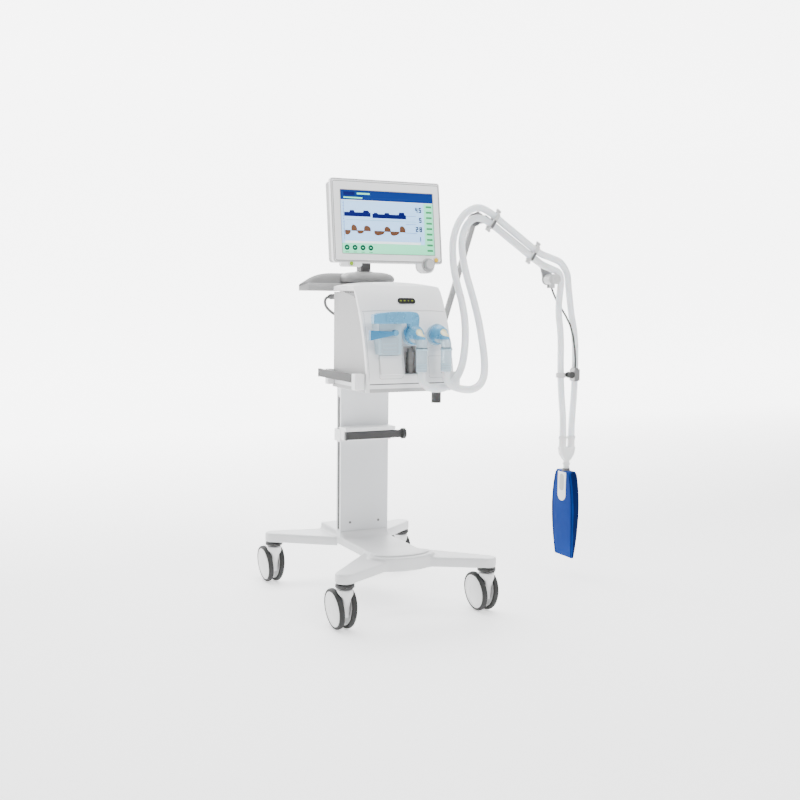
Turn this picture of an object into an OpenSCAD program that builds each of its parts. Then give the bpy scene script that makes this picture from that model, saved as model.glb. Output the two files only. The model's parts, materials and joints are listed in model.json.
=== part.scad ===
/* [Trolley] */
// Distance across the trolley between the caster stems
caster_span_x = 486; // [440:2:560]
// Distance along the trolley between the caster stems
caster_span_y = 606; // [560:2:660]
// Diameter of a caster wheel over its tyre
wheel_d = 125; // [110:1:135]
// Width of a caster wheel
wheel_w = 18; // [14:1:20]
// How far each wheel of a pair leans in at the floor, in degrees
wheel_camber = 5.3; // [3:0.1:6]
// How far the wheels trail behind the caster stem
caster_trail = 30; // [24:1:36]
// Height of the underside of the base arms
base_z = 147; // [146:1:155]
// Thickness of a base arm at its caster
base_h = 31; // [28:1:36]
// Width of the column and of the spine that it stands on
column_w = 174; // [150:2:200]
// Depth of the column
column_d = 34; // [28:1:44]
// Height of the column's top end
column_top = 700; // [660:5:740]

/* [Ventilator unit] */
// Width of the unit
unit_w = 294; // [270:2:320]
// Height of the unit's top above the platform
unit_h = 306; // [290:1:320]
// Thickness of the casing walls
wall = 4; // [3:0.5:6]
// Thickness of the platform
platform_h = 27; // [20:1:32]

/* [Monitor] */
// Width of the monitor
monitor_w = 380; // [340:5:420]
// Height of the monitor
monitor_h = 260; // [230:5:290]
// Thickness of the monitor
monitor_d = 46; // [40:1:56]
// Backward tilt of the screen, in degrees
monitor_tilt = 7; // [0:1:12]

/* [Support arm and hoses] */
// Length of the arm's lower bar, joint to joint
post_l = 500; // [470:5:520]
// Outward lean of the lower bar, in degrees
post_lean = 18; // [14:1:20]
// Length of the boom, joint to joint
boom_l = 356; // [340:2:370]
// Downward slope of the boom, in degrees
boom_drop = 32.7; // [30:0.1:35]
// Outside diameter of a breathing hose
hose_d = 24; // [20:1:26]

/* [Hidden] */
$fn = 48;

// Clearance round each pin that turns or slides
slip = 0.05;

// Casters
stem_x = caster_span_x / 2;
stem_y = caster_span_y / 2;
stem_r = 9;
wheel_r = wheel_d / 2;
tyre_edge_r = 6;
axle_r = 5;
wheel_z = (wheel_r - tyre_edge_r) * cos(wheel_camber)
    + (wheel_w / 2 - tyre_edge_r) * sin(wheel_camber) + tyre_edge_r;
wheel_x = 20;
fork_r = 25;
fork_top = 129;
ring_r = 29;
ring_z = 134.5;
ring_h = 9;
ring_tab = 36;
wheel_reach = stem_x + wheel_x + (wheel_r - tyre_edge_r) * sin(wheel_camber)
    + (wheel_w / 2 - tyre_edge_r) * cos(wheel_camber) + tyre_edge_r;
front_left = [-stem_x, -stem_y, 0];
front_right = [stem_x, -stem_y, 0];
rear_left = [-stem_x, stem_y, 0];
rear_right = [stem_x, stem_y, 0];

// Base and column
arm_end_r = 30;
spine_z = 160;
spine_top = 187;
column_front = 91;
column_back = column_front + column_d;
hub_y = -190;
hub_a = 112;
hub_b = 66;

// Unit: its front is a raked outline, given as depth and height above the platform
platform_z = column_top;
unit_z = platform_z + platform_h;
platform_front = -238;
platform_back = 30;
unit_back = 18;
platform_knob_at = [107, -206];
seam_h = 216;
lip_h = 278;
front_low = [[-240, 0], [-243, 26], [-236, 64], [-222, 120], [-205, 174], [-186, seam_h]];
front_high = [[-186, seam_h], [-170, 248], [-154, 274], [-134, 294], [-104, unit_h]];
half_w = unit_w / 2;
valve_x = 4;
port_x = 88;
port_y = -262;
port_h = 147;
dome_r = 30;
elbow_r = 16;
elbow_bend = 40;
cuff_low = 38;
lever_pivot = [-66, -262, unit_z + 154];
flap_x = -67;
flap_w = 74;
flap_h = 59;
flap_t = 4;
flap_gap = 2.2;
flap_lean = atan((front_low[3][0] - front_low[1][0]) / (front_low[3][1] - front_low[1][1]));
pocket_x = 4;
pocket_w = 50;
pocket_low = 27;
pocket_top = 112;
window_x = 17;

// Monitor
monitor_pos = [0, -66, 1222];
neck = [0, 111, 1068];
handle_low = 1003;
tilt_y = 62;
tilt_pivot = [0, monitor_pos[1] + tilt_y * cos(monitor_tilt),
    monitor_pos[2] - tilt_y * sin(monitor_tilt)];
knob_at = [137, -134];
screen_w = 323;
screen_h = 198;
screen_at = [3, -4];

// Support arm: the post's foot, the shoulder and the boom's end, all in one upright plane
arm_y = -20;
rail_z = 742;
rail_h = 25;
rail_t = 10;
side_rail_x = 170;
side_rail_y = -198;
arm_foot = [188, arm_y, 768];
shoulder = arm_foot + post_l * [sin(post_lean), 0, cos(post_lean)];
boom_u = [cos(boom_drop), 0, -sin(boom_drop)];
boom_end = shoulder + boom_l * boom_u;
boom_rise = 26;
boom_h = 22;
hose_r = hose_d / 2;
hose_y = -42;
clip_at = [46, 236];
clip_rise = boom_rise + 5;
clamp_x = 747;
clamp_r = 18;
hub_r = 18;

// The row's origin is on the floor under the middle of the whole object. The
// trolley's own centre line stands to the left of it, because the arm reaches right.
// It also stands a little forward, because the rear wheels trail out behind.
trolley_x = (wheel_reach - clamp_x - clamp_r) / 2;
trolley_y = (ring_tab - caster_trail - wheel_r) / 2;

// Free routes, in the trolley's own frame
expiratory_route = [
    [4, -302, 765], [4, -302, 749], [9, -302, 733], [28, -300, 719], [62, -289, 712],
    [98, -277, 714], [132, -265, 728], [161, -250, 752], [184, -233, 784], [204, -210, 826],
    [222, -182, 872], [234, -154, 922], [238, -128, 972], [236, -104, 1022], [234, -82, 1074],
    [238, -64, 1124], [246, -52, 1176], [266, -46, 1226], [298, -43, 1264], [344, -42, 1282],
    [392, -42, 1266], [438, -42, 1236], [490, -42, 1202], [542, -42, 1168], [590, -42, 1139],
    [636, -42, 1124], [676, -42, 1108], [703, -42, 1072], [711, -42, 1026], [718, -42, 980],
    [727, -42, 928], [738, -42, 880], [745, -42, 828], [747, -42, 770], [747, -42, 704],
    [745, -42, 638], [741, -42, 578], [739, -42, 528], [739, -42, 506]
];
inspiratory_route = [
    [88, -302, 765], [88, -302, 750], [95, -302, 734], [115, -302, 718], [146, -302, 709],
    [180, -297, 707], [212, -286, 716], [238, -268, 734], [256, -247, 762], [268, -223, 802],
    [276, -196, 848], [281, -168, 902], [281, -142, 956], [278, -116, 1010], [272, -94, 1064],
    [270, -74, 1118], [274, -58, 1164], [286, -48, 1200], [306, -43, 1230], [334, -42, 1247],
    [368, -42, 1243], [414, -42, 1218], [466, -42, 1184], [518, -42, 1150], [568, -42, 1118],
    [604, -42, 1099], [638, -42, 1087], [668, -42, 1074], [679, -42, 1046], [676, -42, 1006],
    [673, -42, 966], [674, -42, 926], [681, -42, 880], [685, -42, 830], [686, -42, 776],
    [688, -42, 712], [694, -42, 640], [701, -42, 578], [703, -42, 528], [703, -42, 506]
];
rod_route = [
    [650, -20, 1034], [664, -20, 1004], [678, -22, 976], [690, -32, 952],
    [700, -46, 926], [711, -57, 896], [721, -63, 856], [728, -66, 806], [731, -66, 776],
    [731, -66, 746]
];
cable_route = [
    [-86, 106, 985], [-104, 106, 985], [-128, 99, 984], [-146, 84, 978], [-156, 66, 966],
    [-155, 56, 952], [-146, 49, 940], [-134, 42, 930], [-121, 35, 923], [-118, 28, 922], [-118, 22, 922]
];
lung_x = 721;
lung_half_w = 68;
lung_half_t = 17;
rod_d = 7;
cable_d = 9;

function unit(v) = v / norm(v);
function tangent(p, i) = unit(p[min(i + 1, len(p) - 1)] - p[max(i - 1, 0)]);
function square_to(v, t) = unit(v - (v * t) * t);
function sides_of(p, i, last) =
    i == len(p) ? [] :
    let (s = square_to(last, tangent(p, i))) concat([s], sides_of(p, i + 1, s));

// A closed round tube of the stated diameter along a list of points
module tube(route, d, sides = 10) {
    start = abs(tangent(route, 0)[1]) > 0.9 ? [1, 0, 0] : [0, 1, 0];
    side = sides_of(route, 0, start);
    rings = [
        for (i = [0 : len(route) - 1])
            let (t = tangent(route, i), u = side[i], v = cross(t, u))
            for (k = [0 : sides - 1])
                let (a = 360 * k / sides)
                route[i] + d / 2 * (cos(a) * u + sin(a) * v)
    ];
    last = (len(route) - 1) * sides;
    walls = [
        for (i = [0 : len(route) - 2], k = [0 : sides - 1])
            let (a = i * sides + k, b = i * sides + (k + 1) % sides)
            each [[a, b + sides, b], [a, a + sides, b + sides]]
    ];
    first_cap = [for (k = [0 : sides - 1]) k];
    last_cap = [for (k = [sides - 1 : -1 : 0]) last + k];
    polyhedron(rings, concat(walls, [first_cap], [last_cap]));
}

module placed() translate([trolley_x, trolley_y, 0]) children();

// Lies along X, centred on X = 0, with its outline in Y and Z
module along_x(length) {
    rotate([90, 0, 90]) translate([0, 0, -length / 2]) linear_extrude(length) children();
}

// Lies along Y between two depths, with its outline in X and Z
module along_y(from, to) {
    translate([0, to, 0]) rotate([90, 0, 0]) linear_extrude(to - from) children();
}

module rounded_box(size, r) {
    linear_extrude(size[2])
        translate([size[0] / 2, size[1] / 2]) rounded_rect(size[0], size[1], r);
}

module rounded_rect(w, h, r) {
    union() {
        square([w - 2 * r, h], center = true);
        square([w, h - 2 * r], center = true);
        for (x = [-1, 1], y = [-1, 1])
            translate([x * (w / 2 - r), y * (h / 2 - r)]) circle(r);
    }
}

// ---- Base ----

// A tapering arm's plan, from a caster stem to two points at the middle
module arm_plan(stem, root) {
    d = unit([root[0][0] + root[1][0], root[0][1] + root[1][1]] / 2 - stem);
    s = [-d[1], d[0]] * arm_end_r;
    union() {
        translate(stem) circle(arm_end_r);
        polygon([stem + s, stem - s, root[0], root[1]]);
    }
}

module base_plan(sx) {
    arm_plan([sx * stem_x, -stem_y],
        sx > 0 ? [[86, -96], [60, -232]] : [[-60, -232], [-86, -96]]);
    arm_plan([sx * stem_x, stem_y],
        sx > 0 ? [[60, 292], [74, 140]] : [[-74, 140], [-60, 292]]);
}

module base_frame() {
    ellipse = [for (a = [0 : 6 : 354]) [hub_a * cos(a), hub_y + hub_b * sin(a)]];
    foot = 36;
    foot_curve = [
        for (a = [0 : 10 : 90])
            [column_front - foot + foot * sin(a), spine_top + foot - foot * cos(a)]
    ];
    placed() color("gainsboro")
    difference() {
        union() {
            translate([0, 0, base_z]) linear_extrude(base_h) {
                base_plan(-1);
                base_plan(1);
            }
            translate([-column_w / 2, hub_y, spine_z])
                cube([column_w, column_back - hub_y, spine_top - spine_z]);
            translate([0, 0, base_z - 2]) linear_extrude(spine_top + 3 - base_z) polygon(ellipse);
            translate([-75, column_front, spine_z]) cube([150, 200, 42]);
            along_x(column_w) polygon(concat(
                [[column_front - foot, spine_top - 1], [column_front, spine_top - 1]],
                [for (i = [len(foot_curve) - 1 : -1 : 0]) foot_curve[i]]));
        }
        for (p = [front_left, front_right, rear_left, rear_right])
            translate([p[0], p[1], base_z - 1]) cylinder(h = 29, r = stem_r + slip);
        translate([-column_w / 2, column_front, spine_top])
            cube([column_w, column_d, 60]);
    }
}

module column() {
    placed() color("lightgray")
    difference() {
        translate([-column_w / 2, column_front, spine_top])
            cube([column_w, column_d, column_top - spine_top]);
        translate([-column_w / 2 + 5, column_front + wall, spine_top - 1])
            cube([column_w - 10, column_d - 2 * wall, column_top - spine_top + 2]);
        for (x = [-1, 1])
            translate([x * column_w / 2 - 2, column_front + 9, spine_top + 20])
                cube([4, column_d - 18, column_top - spine_top - 60]);
    }
}

module clamp_collar() {
    placed() color("white")
    difference() {
        union() {
            translate([-column_w / 2 - 6, column_front - 6, 510])
                cube([column_w + 12, column_d + 12, 40]);
            translate([-92, 52, 518]) cube([180, column_front - 52, 30]);
            translate([-92, 40, 547]) cube([180, column_front - 40, 12]);
        }
        translate([-column_w / 2, column_front, 509]) cube([column_w, column_d, 42]);
    }
}

module rails() {
    placed() color("slategray") {
        translate([-86, 42, 520]) cube([200, rail_t, rail_h]);
        for (x = [-1, 1])
            translate([x * side_rail_x - (x > 0 ? 0 : rail_t), side_rail_y, rail_z - rail_h / 2])
                cube([rail_t, 60 - side_rail_y, rail_h]);
    }
}

module rail_caps() {
    placed() color("dimgray") {
        translate([-90, 40, 518]) cube([4, 12, 29]);
        translate([114, 47, 532.5]) rotate([0, 90, 0]) cylinder(h = 12, r = 18);
        for (x = [-1, 1])
            translate([x * (side_rail_x + rail_t / 2) - 6, 60, rail_z - 13.5]) cube([12, 3, 27]);
    }
}

module platform() {
    placed() color("whitesmoke")
    difference() {
        translate([-half_w - 1, platform_front, platform_z])
            rounded_box([unit_w + 2, platform_back - platform_front, platform_h], 12);
        translate([platform_knob_at[0], platform_knob_at[1], platform_z - 1])
            cylinder(h = 13, r = 6 + slip);
    }
}

// The front pair holds the rails' ends, and the rear pair stands behind the rails
module rail_brackets() {
    reach = side_rail_x - half_w - 1;
    bracket_low = 708;
    bracket_h = rail_z + 15 - bracket_low;
    placed() color("white")
    for (x = [-1, 1]) {
        translate([x > 0 ? half_w + 1 : -side_rail_x - rail_t, side_rail_y - 30, bracket_low])
            cube([reach + rail_t, 30, bracket_h]);
        translate([x > 0 ? half_w + 1 : -side_rail_x, 4, bracket_low])
            cube([reach, 26, bracket_h]);
    }
}

module head_bracket() {
    placed() color("gainsboro")
    union() {
        translate([-80, platform_back, platform_z]) cube([160, column_back - platform_back, 27]);
        translate([-80, 88, platform_z]) cube([160, column_back - 88, handle_low - platform_z]);
        translate([-86, 106, 985]) rotate([0, 90, 0]) cylinder(h = 8, r = 8);
    }
}

// A crescent in plan whose wings rise from their tips towards the middle, the left one higher
module push_handle() {
    outer = [for (a = [-38.5 : 2.2 : 38.5]) [390 * sin(a), -230 + 390 * cos(a)]];
    inner = [for (a = [25 : -2 : -25]) [520 * sin(a), -418 + 520 * cos(a)]];
    tip = 250;
    slope = 160;
    left_climb = 45;
    right_climb = 17;
    function rise(climb) = [
        for (d = [0 : 20 : slope])
            [tip - d, handle_low + 14 + climb * (1 - pow(1 - d / slope, 2.6))]
    ];
    placed() color("darkgray")
    difference() {
        union() {
            intersection() {
                translate([0, 0, handle_low]) linear_extrude(70) polygon(concat(outer, inner));
                along_y(0, 200) polygon(concat([[-tip, 990], [tip, 990]], rise(right_climb),
                    [for (p = reversed(rise(left_climb))) [-p[0], p[1]]]));
            }
            translate([-96, 24, 1036]) rounded_box([192, 118, 31], 14);
            translate([-80, 88, handle_low]) cube([160, 36, 36]);
        }
        translate([neck[0], neck[1], 1040]) cylinder(h = 40, r = 14 + slip);
    }
}

// ---- Ventilator unit ----

// The raked front outline between two heights, given a thickness towards the back
function shifted(points, dy) = [for (p = points) [p[0] + dy, p[1]]];
function reversed(points) = [for (i = [len(points) - 1 : -1 : 0]) points[i]];

module front_band(points, from, to) {
    polygon(concat(shifted(points, from), reversed(shifted(points, to))));
}

module case_shell() {
    edge = 15;
    front = concat(shifted(front_low, edge), [[-186 + edge, seam_h]],
        shifted([front_high[1], front_high[2]], edge));
    placed() translate([0, 0, unit_z]) color("silver")
    difference() {
        union() {
            along_x(unit_w - 4)
                polygon(concat([[unit_back, 0]], front, [[unit_back, front_high[2][1]]]));
            translate([-118, unit_back - 1, 195]) rotate([-90, 0, 0]) cylinder(h = 5, r = 8);
        }
        translate([-half_w + 2 + wall, -300, wall])
            cube([unit_w - 4 - 2 * wall, 300 + unit_back - wall, 400]);
    }
}

// Its top is crowned, highest along the middle
module hood() {
    thick = 6;
    crown = 15;
    crowned = [
        for (t = [1 : -0.125 : -1]) [t * (half_w + 1), unit_h - crown * pow(abs(t), 2.2)]
    ];
    outline = concat(front_high, [[unit_back, unit_h], [unit_back, lip_h]],
        [[-140, lip_h]], reversed(shifted([front_high[0], front_high[1], front_high[2]], 14.5)));
    placed() translate([0, 0, unit_z]) color("whitesmoke")
    difference() {
        intersection() {
            along_x(unit_w) polygon(outline);
            along_y(-300, 100) polygon(concat([[-half_w - 1, 0], [half_w + 1, 0]], crowned));
        }
        along_x(unit_w - 2 * wall)
            polygon(concat([[-186 + thick, seam_h - 1]],
                [for (p = front_high) [p[0] + thick, min(p[1], unit_h - crown - thick)]],
                [[unit_back + 1, unit_h - crown - thick], [unit_back + 1, seam_h - 1]]));
    }
}

module front_panel() {
    placed() translate([0, 0, unit_z]) color("whitesmoke")
    difference() {
        union() {
            difference() {
                along_x(unit_w) front_band(front_low, 0, 14.5);
                along_x(unit_w - 2 * wall - 4) front_band(front_low, 5, 20);
            }
            translate([pocket_x - pocket_w / 2 - 4, -234, pocket_low - 4])
                cube([pocket_w + 8, 50, pocket_top - pocket_low + 8]);
        }
        translate([pocket_x - pocket_w / 2, -260, pocket_low])
            cube([pocket_w, 72, pocket_top - pocket_low]);
        translate([-half_w, 0, 0]) along_x(2 * unit_w)
            polygon(concat([[-260, -1]], [[-260, 200]], reversed(shifted(front_low, -0.01))));
    }
}

module display_window() {
    lean = atan((front_high[2][0] - front_high[0][0]) / (front_high[2][1] - front_high[0][1]));
    placed() translate([window_x, front_high[1][0] + 0.1, unit_z + front_high[1][1]])
    rotate([90 - lean, 0, 0]) color("black") linear_extrude(2.5) rounded_rect(61, 20, 9.5);
}

module blower() {
    placed() translate([66, -86, unit_z + wall]) color("dimgray")
    union() {
        cylinder(h = 62, r = 52);
        translate([0, 0, 30]) rotate([90, 0, 0]) cylinder(h = 92, r = 16);
    }
}

module battery_pack() {
    placed() translate([-130, -150, unit_z + wall]) color("darkslategray")
        rounded_box([96, 150, 64], 6);
}

// A round dome on the panel whose tube bends forward and then down
module port(x) {
    translate([x, 0, unit_z + port_h]) {
        translate([0, port_y + 10, 0]) sphere(dome_r);
        translate([0, port_y + 44, 0]) rotate([90, 0, 0]) cylinder(h = 34, r = 20);
        translate([0, port_y, -elbow_bend]) rotate([90, 0, -90])
            rotate_extrude(angle = 90) translate([elbow_bend, 0]) circle(elbow_r);
    }
}

module expiratory_valve() {
    z = unit_z;
    placed() color("skyblue")
    union() {
        port(valve_x);
        along_y(-264, -240) polygon([
            [-136, z + 181], [-136, z + 208], [-120, z + 213], [-70, z + 217], [-20, z + 218],
            [6, z + 215], [14, z + 208], [16, z + 196], [14, z + 168], [-16, z + 168],
            [-18, z + 181]
        ]);
    }
}

module valve_body() {
    placed() color("lightcyan")
    union() {
        translate([-77, 0, unit_z]) along_x(76) polygon([
            [-252, 88], [-252, 181], [-203, 181], [-204, 170], [-219, 122], [-228, 88]
        ]);
        translate(lever_pivot) translate([0, 11, 0]) rotate([90, 0, 0]) cylinder(h = 16, r = 4);
    }
}

module inspiratory_port() {
    placed() color("skyblue") port(port_x);
}

module hose_cuffs() {
    placed() color("lightblue")
    for (x = [valve_x, port_x])
        translate([x, port_y - elbow_bend, unit_z + cuff_low])
            cylinder(h = port_h - elbow_bend - cuff_low, r = elbow_r + 1);
}

module oxygen_sensor() {
    placed() translate([pocket_x + 6, -214, unit_z + pocket_low]) color("lightslategray")
    union() {
        cylinder(h = 66, r = 12);
        translate([0, 0, 66]) cylinder(h = 12, r = 9);
    }
}

// Two threaded gas connectors on the back, one for air and one for oxygen
module gas_inlets() {
    placed() color("silver")
    for (x = [98, 128])
        translate([x, unit_back, unit_z + 80]) rotate([-90, 0, 0]) {
            cylinder(h = 8, r = 12);
            cylinder(h = 32, r = 8);
        }
}

module monitor_cable() {
    placed() color("gray") tube(cable_route, cable_d, 8);
}

module valve_lever() {
    placed() translate(lever_pivot) color("steelblue")
    difference() {
        union() {
            along_y(-8, 7.5) polygon([[0, -8], [-10, -8], [-84, -22], [-84, 8], [-10, 4], [0, 4]]);
            rotate([90, 0, 0]) translate([0, 0, -7.5]) cylinder(h = 15.5, r = 9);
        }
        translate([0, 12, 0]) rotate([90, 0, 0]) cylinder(h = 18, r = 4 + slip);
    }
}

// Hinged at the rounded lower edge
module service_flap() {
    placed() translate([flap_x, front_low[1][0] - flap_gap, unit_z + front_low[1][1]])
    rotate([-flap_lean, 0, 0]) color("white") {
        translate([-flap_w / 2, -flap_t, flap_t / 2]) cube([flap_w, flap_t, flap_h - flap_t / 2]);
        translate([-flap_w / 2, -flap_t / 2, flap_t / 2]) rotate([0, 90, 0])
            cylinder(h = flap_w, r = flap_t / 2);
    }
}

module platform_knob() {
    placed() translate([platform_knob_at[0], platform_knob_at[1], platform_z]) color("dimgray")
    union() {
        translate([0, 0, -40]) cylinder(h = 39, r = 15);
        translate([0, 0, -2]) cylinder(h = 13, r = 6);
    }
}

// ---- Monitor ----

module monitor_frame() {
    placed() translate(monitor_pos) rotate([-monitor_tilt, 0, 0]) children();
}

module face_plate(w, h, r, from, to) {
    along_y(from, to) rounded_rect(w, h, r);
}

module monitor_swivel() {
    placed() color("dimgray")
    difference() {
        union() {
            translate([neck[0], neck[1], neck[2] - 26]) cylinder(h = 30, r = 14);
            translate([-17, 93, neck[2] + 1]) cube([34, 36, 160]);
            translate([-17, tilt_pivot[1], tilt_pivot[2] - 12]) cube([34, 124 - tilt_pivot[1], 24]);
            translate([-17, tilt_pivot[1], tilt_pivot[2]]) rotate([0, 90, 0])
                cylinder(h = 34, r = 12);
        }
        translate([-20, tilt_pivot[1], tilt_pivot[2]]) rotate([0, 90, 0])
            cylinder(h = 40, r = 6 + slip);
    }
}

module monitor_back() {
    monitor_frame() color("lightgray")
    union() {
        difference() {
            face_plate(monitor_w - 8, monitor_h - 8, 10, 14.2, monitor_d);
            face_plate(monitor_w - 16, monitor_h - 16, 8, 10, monitor_d - wall);
        }
        for (x = [-1, 1])
            translate([x * 25 - 7, monitor_d - 1, -12]) cube([14, tilt_y - monitor_d + 12, 24]);
        translate([-32, tilt_y, 0]) rotate([0, 90, 0]) cylinder(h = 64, r = 6);
    }
}

module monitor_bezel() {
    monitor_frame() color("white")
    difference() {
        union() {
            face_plate(monitor_w, monitor_h, 8, 0, 14);
            translate([130, 0, -134]) along_y(0, 14) rounded_rect(62, 52, 22);
            translate([-130, 0, -134]) along_y(0, 14) rounded_rect(72, 18, 6);
        }
        translate([screen_at[0], 0, screen_at[1]]) face_plate(screen_w, screen_h, 2, -1, 3);
        translate([0, 0, 2]) face_plate(monitor_w - 24, monitor_h - 32, 4, 6, 15);
        translate([knob_at[0], 0, knob_at[1]]) rotate([-90, 0, 0])
            translate([0, 0, -1]) cylinder(h = 16, r = 6 + slip);
        translate([168, -1, -118]) rotate([-90, 0, 0]) cylinder(h = 16, r = 7 + slip);
        translate([-130, -1, -134]) rotate([-90, 0, 0]) cylinder(h = 16, r = 6 + slip);
    }
}

module screen() {
    monitor_frame() color("powderblue")
        translate([screen_at[0], 0, screen_at[1]])
            face_plate(screen_w - 1, screen_h - 1, 2, 1.5, 3);
}

module menu_knob() {
    monitor_frame() translate([knob_at[0], 0, knob_at[1]]) rotate([90, 0, 0]) color("silver")
    union() {
        translate([0, 0, 1]) cylinder(h = 17, r = 17);
        translate([0, 0, -12]) cylinder(h = 14, r = 6);
    }
}

module key(x, z, r, tint) {
    monitor_frame() translate([x, -3, z]) rotate([-90, 0, 0]) color(tint)
        cylinder(h = 11, r = r);
}

module alarm_key() key(168, -118, 7, "gold");
module power_key() key(-130, -134, 6, "yellowgreen");

// ---- Support arm ----

// Turned so that local Z runs up the post, or local X runs along the boom
module on_post() translate(arm_foot) rotate([0, post_lean, 0]) children();
module on_boom() translate(shoulder) rotate([0, boom_drop, 0]) children();

module arm_clamp() {
    placed() color("gray")
    difference() {
        union() {
            translate([side_rail_x - 6, arm_y - 22, rail_z - 20]) cube([34, 44, 40]);
            translate([arm_foot[0], arm_y, rail_z]) cylinder(h = 20, r = 10);
            translate([arm_foot[0], arm_y, rail_z]) cylinder(h = 34, r = 8);
        }
        translate([side_rail_x, -300, rail_z - rail_h / 2]) cube([rail_t, 500, rail_h]);
        translate([side_rail_x + 15, arm_y, rail_z - 8]) rotate([0, 90, 0])
            cylinder(h = 20, r = 4 + slip);
    }
}

module arm_clamp_knob() {
    placed() translate([side_rail_x + 17, arm_y, rail_z - 8]) rotate([0, 90, 0]) color("dimgray")
    union() {
        cylinder(h = 14, r = 4);
        translate([0, 0, 12]) cylinder(h = 18, r = 14);
    }
}

module arm_post() {
    placed() color("lightgray")
    difference() {
        union() {
            translate([arm_foot[0], arm_y, rail_z + 21]) cylinder(h = 30, r = 14);
            on_post() translate([-9, -5, 16]) cube([18, 10, post_l - 26]);
            translate(shoulder) rotate([90, 0, 0]) translate([0, 0, -5.5])
                cylinder(h = 11, r = 22);
        }
        translate([arm_foot[0], arm_y, rail_z + 20]) cylinder(h = 16, r = 8 + slip);
        translate(shoulder) rotate([90, 0, 0]) translate([0, 0, -20])
            cylinder(h = 40, r = 6 + slip);
    }
}

// Joins the raised bar to the joint below its end
module boom_end_plate() {
    polygon([[44, boom_rise - 9], [44, boom_rise + 9], [0, boom_rise + 9], [-18, 6], [18, -6]]);
}

module arm_boom() {
    placed() on_boom() color("lightgray")
    difference() {
        union() {
            translate([26, -5, boom_rise - boom_h / 2]) cube([boom_l - 52, 10, boom_h]);
            for (x = [0, boom_l])
                translate([x, 8.2, 0]) rotate([90, 0, 0]) translate([0, 0, -4])
                    cylinder(h = 6, r = 20);
            along_y(6.2, 12.2) boom_end_plate();
            translate([boom_l, 0, 0]) mirror([1, 0, 0]) along_y(6.2, 12.2) boom_end_plate();
            for (x = [26, boom_l - 44])
                translate([x, 0, boom_rise - 9]) cube([18, 8, 18]);
            translate([0, 12, 0]) rotate([90, 0, 0]) cylinder(h = 20, r = 6);
        }
        translate([boom_l, 20, 0]) rotate([90, 0, 0]) cylinder(h = 40, r = 6 + slip);
    }
}

module hose_clips() {
    placed() on_boom() color("silver")
    for (x = clip_at)
        translate([x, hose_y - arm_y, clip_rise]) rotate([90, 0, 90]) linear_extrude(12)
        difference() {
            union() {
                rounded_rect(hose_d + 9, 2 * hose_d + 14, 14);
                translate([hose_r + 2, -28]) square([3, 18]);
            }
            rounded_rect(hose_d + 3, 2 * hose_d + 8, 12);
        }
}

module arm_rod() {
    placed() color("gray")
    union() {
        tube(rod_route, rod_d, 10);
        translate([639, arm_y - 10, 1021]) cube([24, 14, 21]);
        translate([boom_end[0], arm_y + 5, boom_end[2]]) rotate([90, 0, 0])
            cylinder(h = 35, r = hub_r);
        translate([boom_end[0], arm_y + 12, boom_end[2]]) rotate([90, 0, 0])
            cylinder(h = 10, r = 6);
    }
}

module hose_clamp() {
    placed() color("silver")
    difference() {
        union() {
            translate([clamp_x, hose_y, 700]) cylinder(h = 40, r = clamp_r);
            translate([724, hose_y - 34, 700]) cube([14, 26, 46]);
            translate([688, hose_y, 712]) cylinder(h = 16, r = 17);
            translate([700, hose_y - 4, 715]) cube([34, 8, 10]);
            translate([710, hose_y - 24, 716]) cube([20, 12, 12]);
            translate([710, hose_y - 12, 722]) rotate([90, 0, 0]) cylinder(h = 26, r = 11);
        }
        translate([clamp_x, hose_y, 690]) cylinder(h = 60, r = hose_r + 2);
        translate([688, hose_y, 700]) cylinder(h = 40, r = hose_r + 2.4);
    }
}

module expiratory_hose() {
    placed() color("white") tube(expiratory_route, hose_d);
}

module inspiratory_hose() {
    placed() color("white") tube(inspiratory_route, hose_d);
}

module y_piece() {
    placed() color("white") {
        translate([703, hose_y, 466]) cylinder(h = 40, r = 13);
        translate([739, hose_y, 466]) cylinder(h = 40, r = 13);
        translate([lung_x, hose_y, 0]) along_y(-11, 11) polygon([
            [-31, 466], [31, 466], [26, 440], [11, 420], [-11, 420], [-26, 440]
        ]);
        translate([lung_x, hose_y, 388]) cylinder(h = 32, r = 11);
    }
}

// Lies along X with its outline in Y and Z; a positive inset draws it smaller
module lung_body(half, inset) {
    k = 1 - inset / lung_half_w;
    outline = [
        [-46, 386], [46, 378], [57, 330], [lung_half_w, 262], [lung_half_w, 216], [60, 120],
        [53, 76], [-57, 84], [-64, 130], [-lung_half_w, 216], [-lung_half_w, 262], [-60, 330]
    ];
    rotate([90, 0, 90]) translate([0, 0, -half]) linear_extrude(2 * half)
        polygon([for (p = outline) [k * p[0], 231 + (1 - inset / 155) * (p[1] - 231)]]);
}

module test_lung() {
    placed() translate([lung_x, hose_y, 0]) color("royalblue")
    difference() {
        lung_body(lung_half_t, 0);
        intersection() {
            lung_body(lung_half_t - 3, 3);
            translate([-30, -80, 0]) cube([60, 160, 287]);
        }
        translate([-30, -26, 290]) cube([60, 52, 110]);
    }
    placed() translate([lung_x, hose_y, 290]) color("white") {
        cylinder(h = 54, r = 14);
        translate([0, 0, 54]) cylinder(h = 44, r = 9);
    }
}

// ---- Casters ----

// One wheel's place: its hub, leaning in at the floor; side is -1 or 1
module at_wheel(stem, side) {
    translate([stem[0] + side * wheel_x, stem[1] + caster_trail, wheel_z])
        rotate([0, side * wheel_camber, 0]) children();
}

// A solid of revolution about local X
module about_x() rotate([0, 90, 0]) children();

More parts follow.
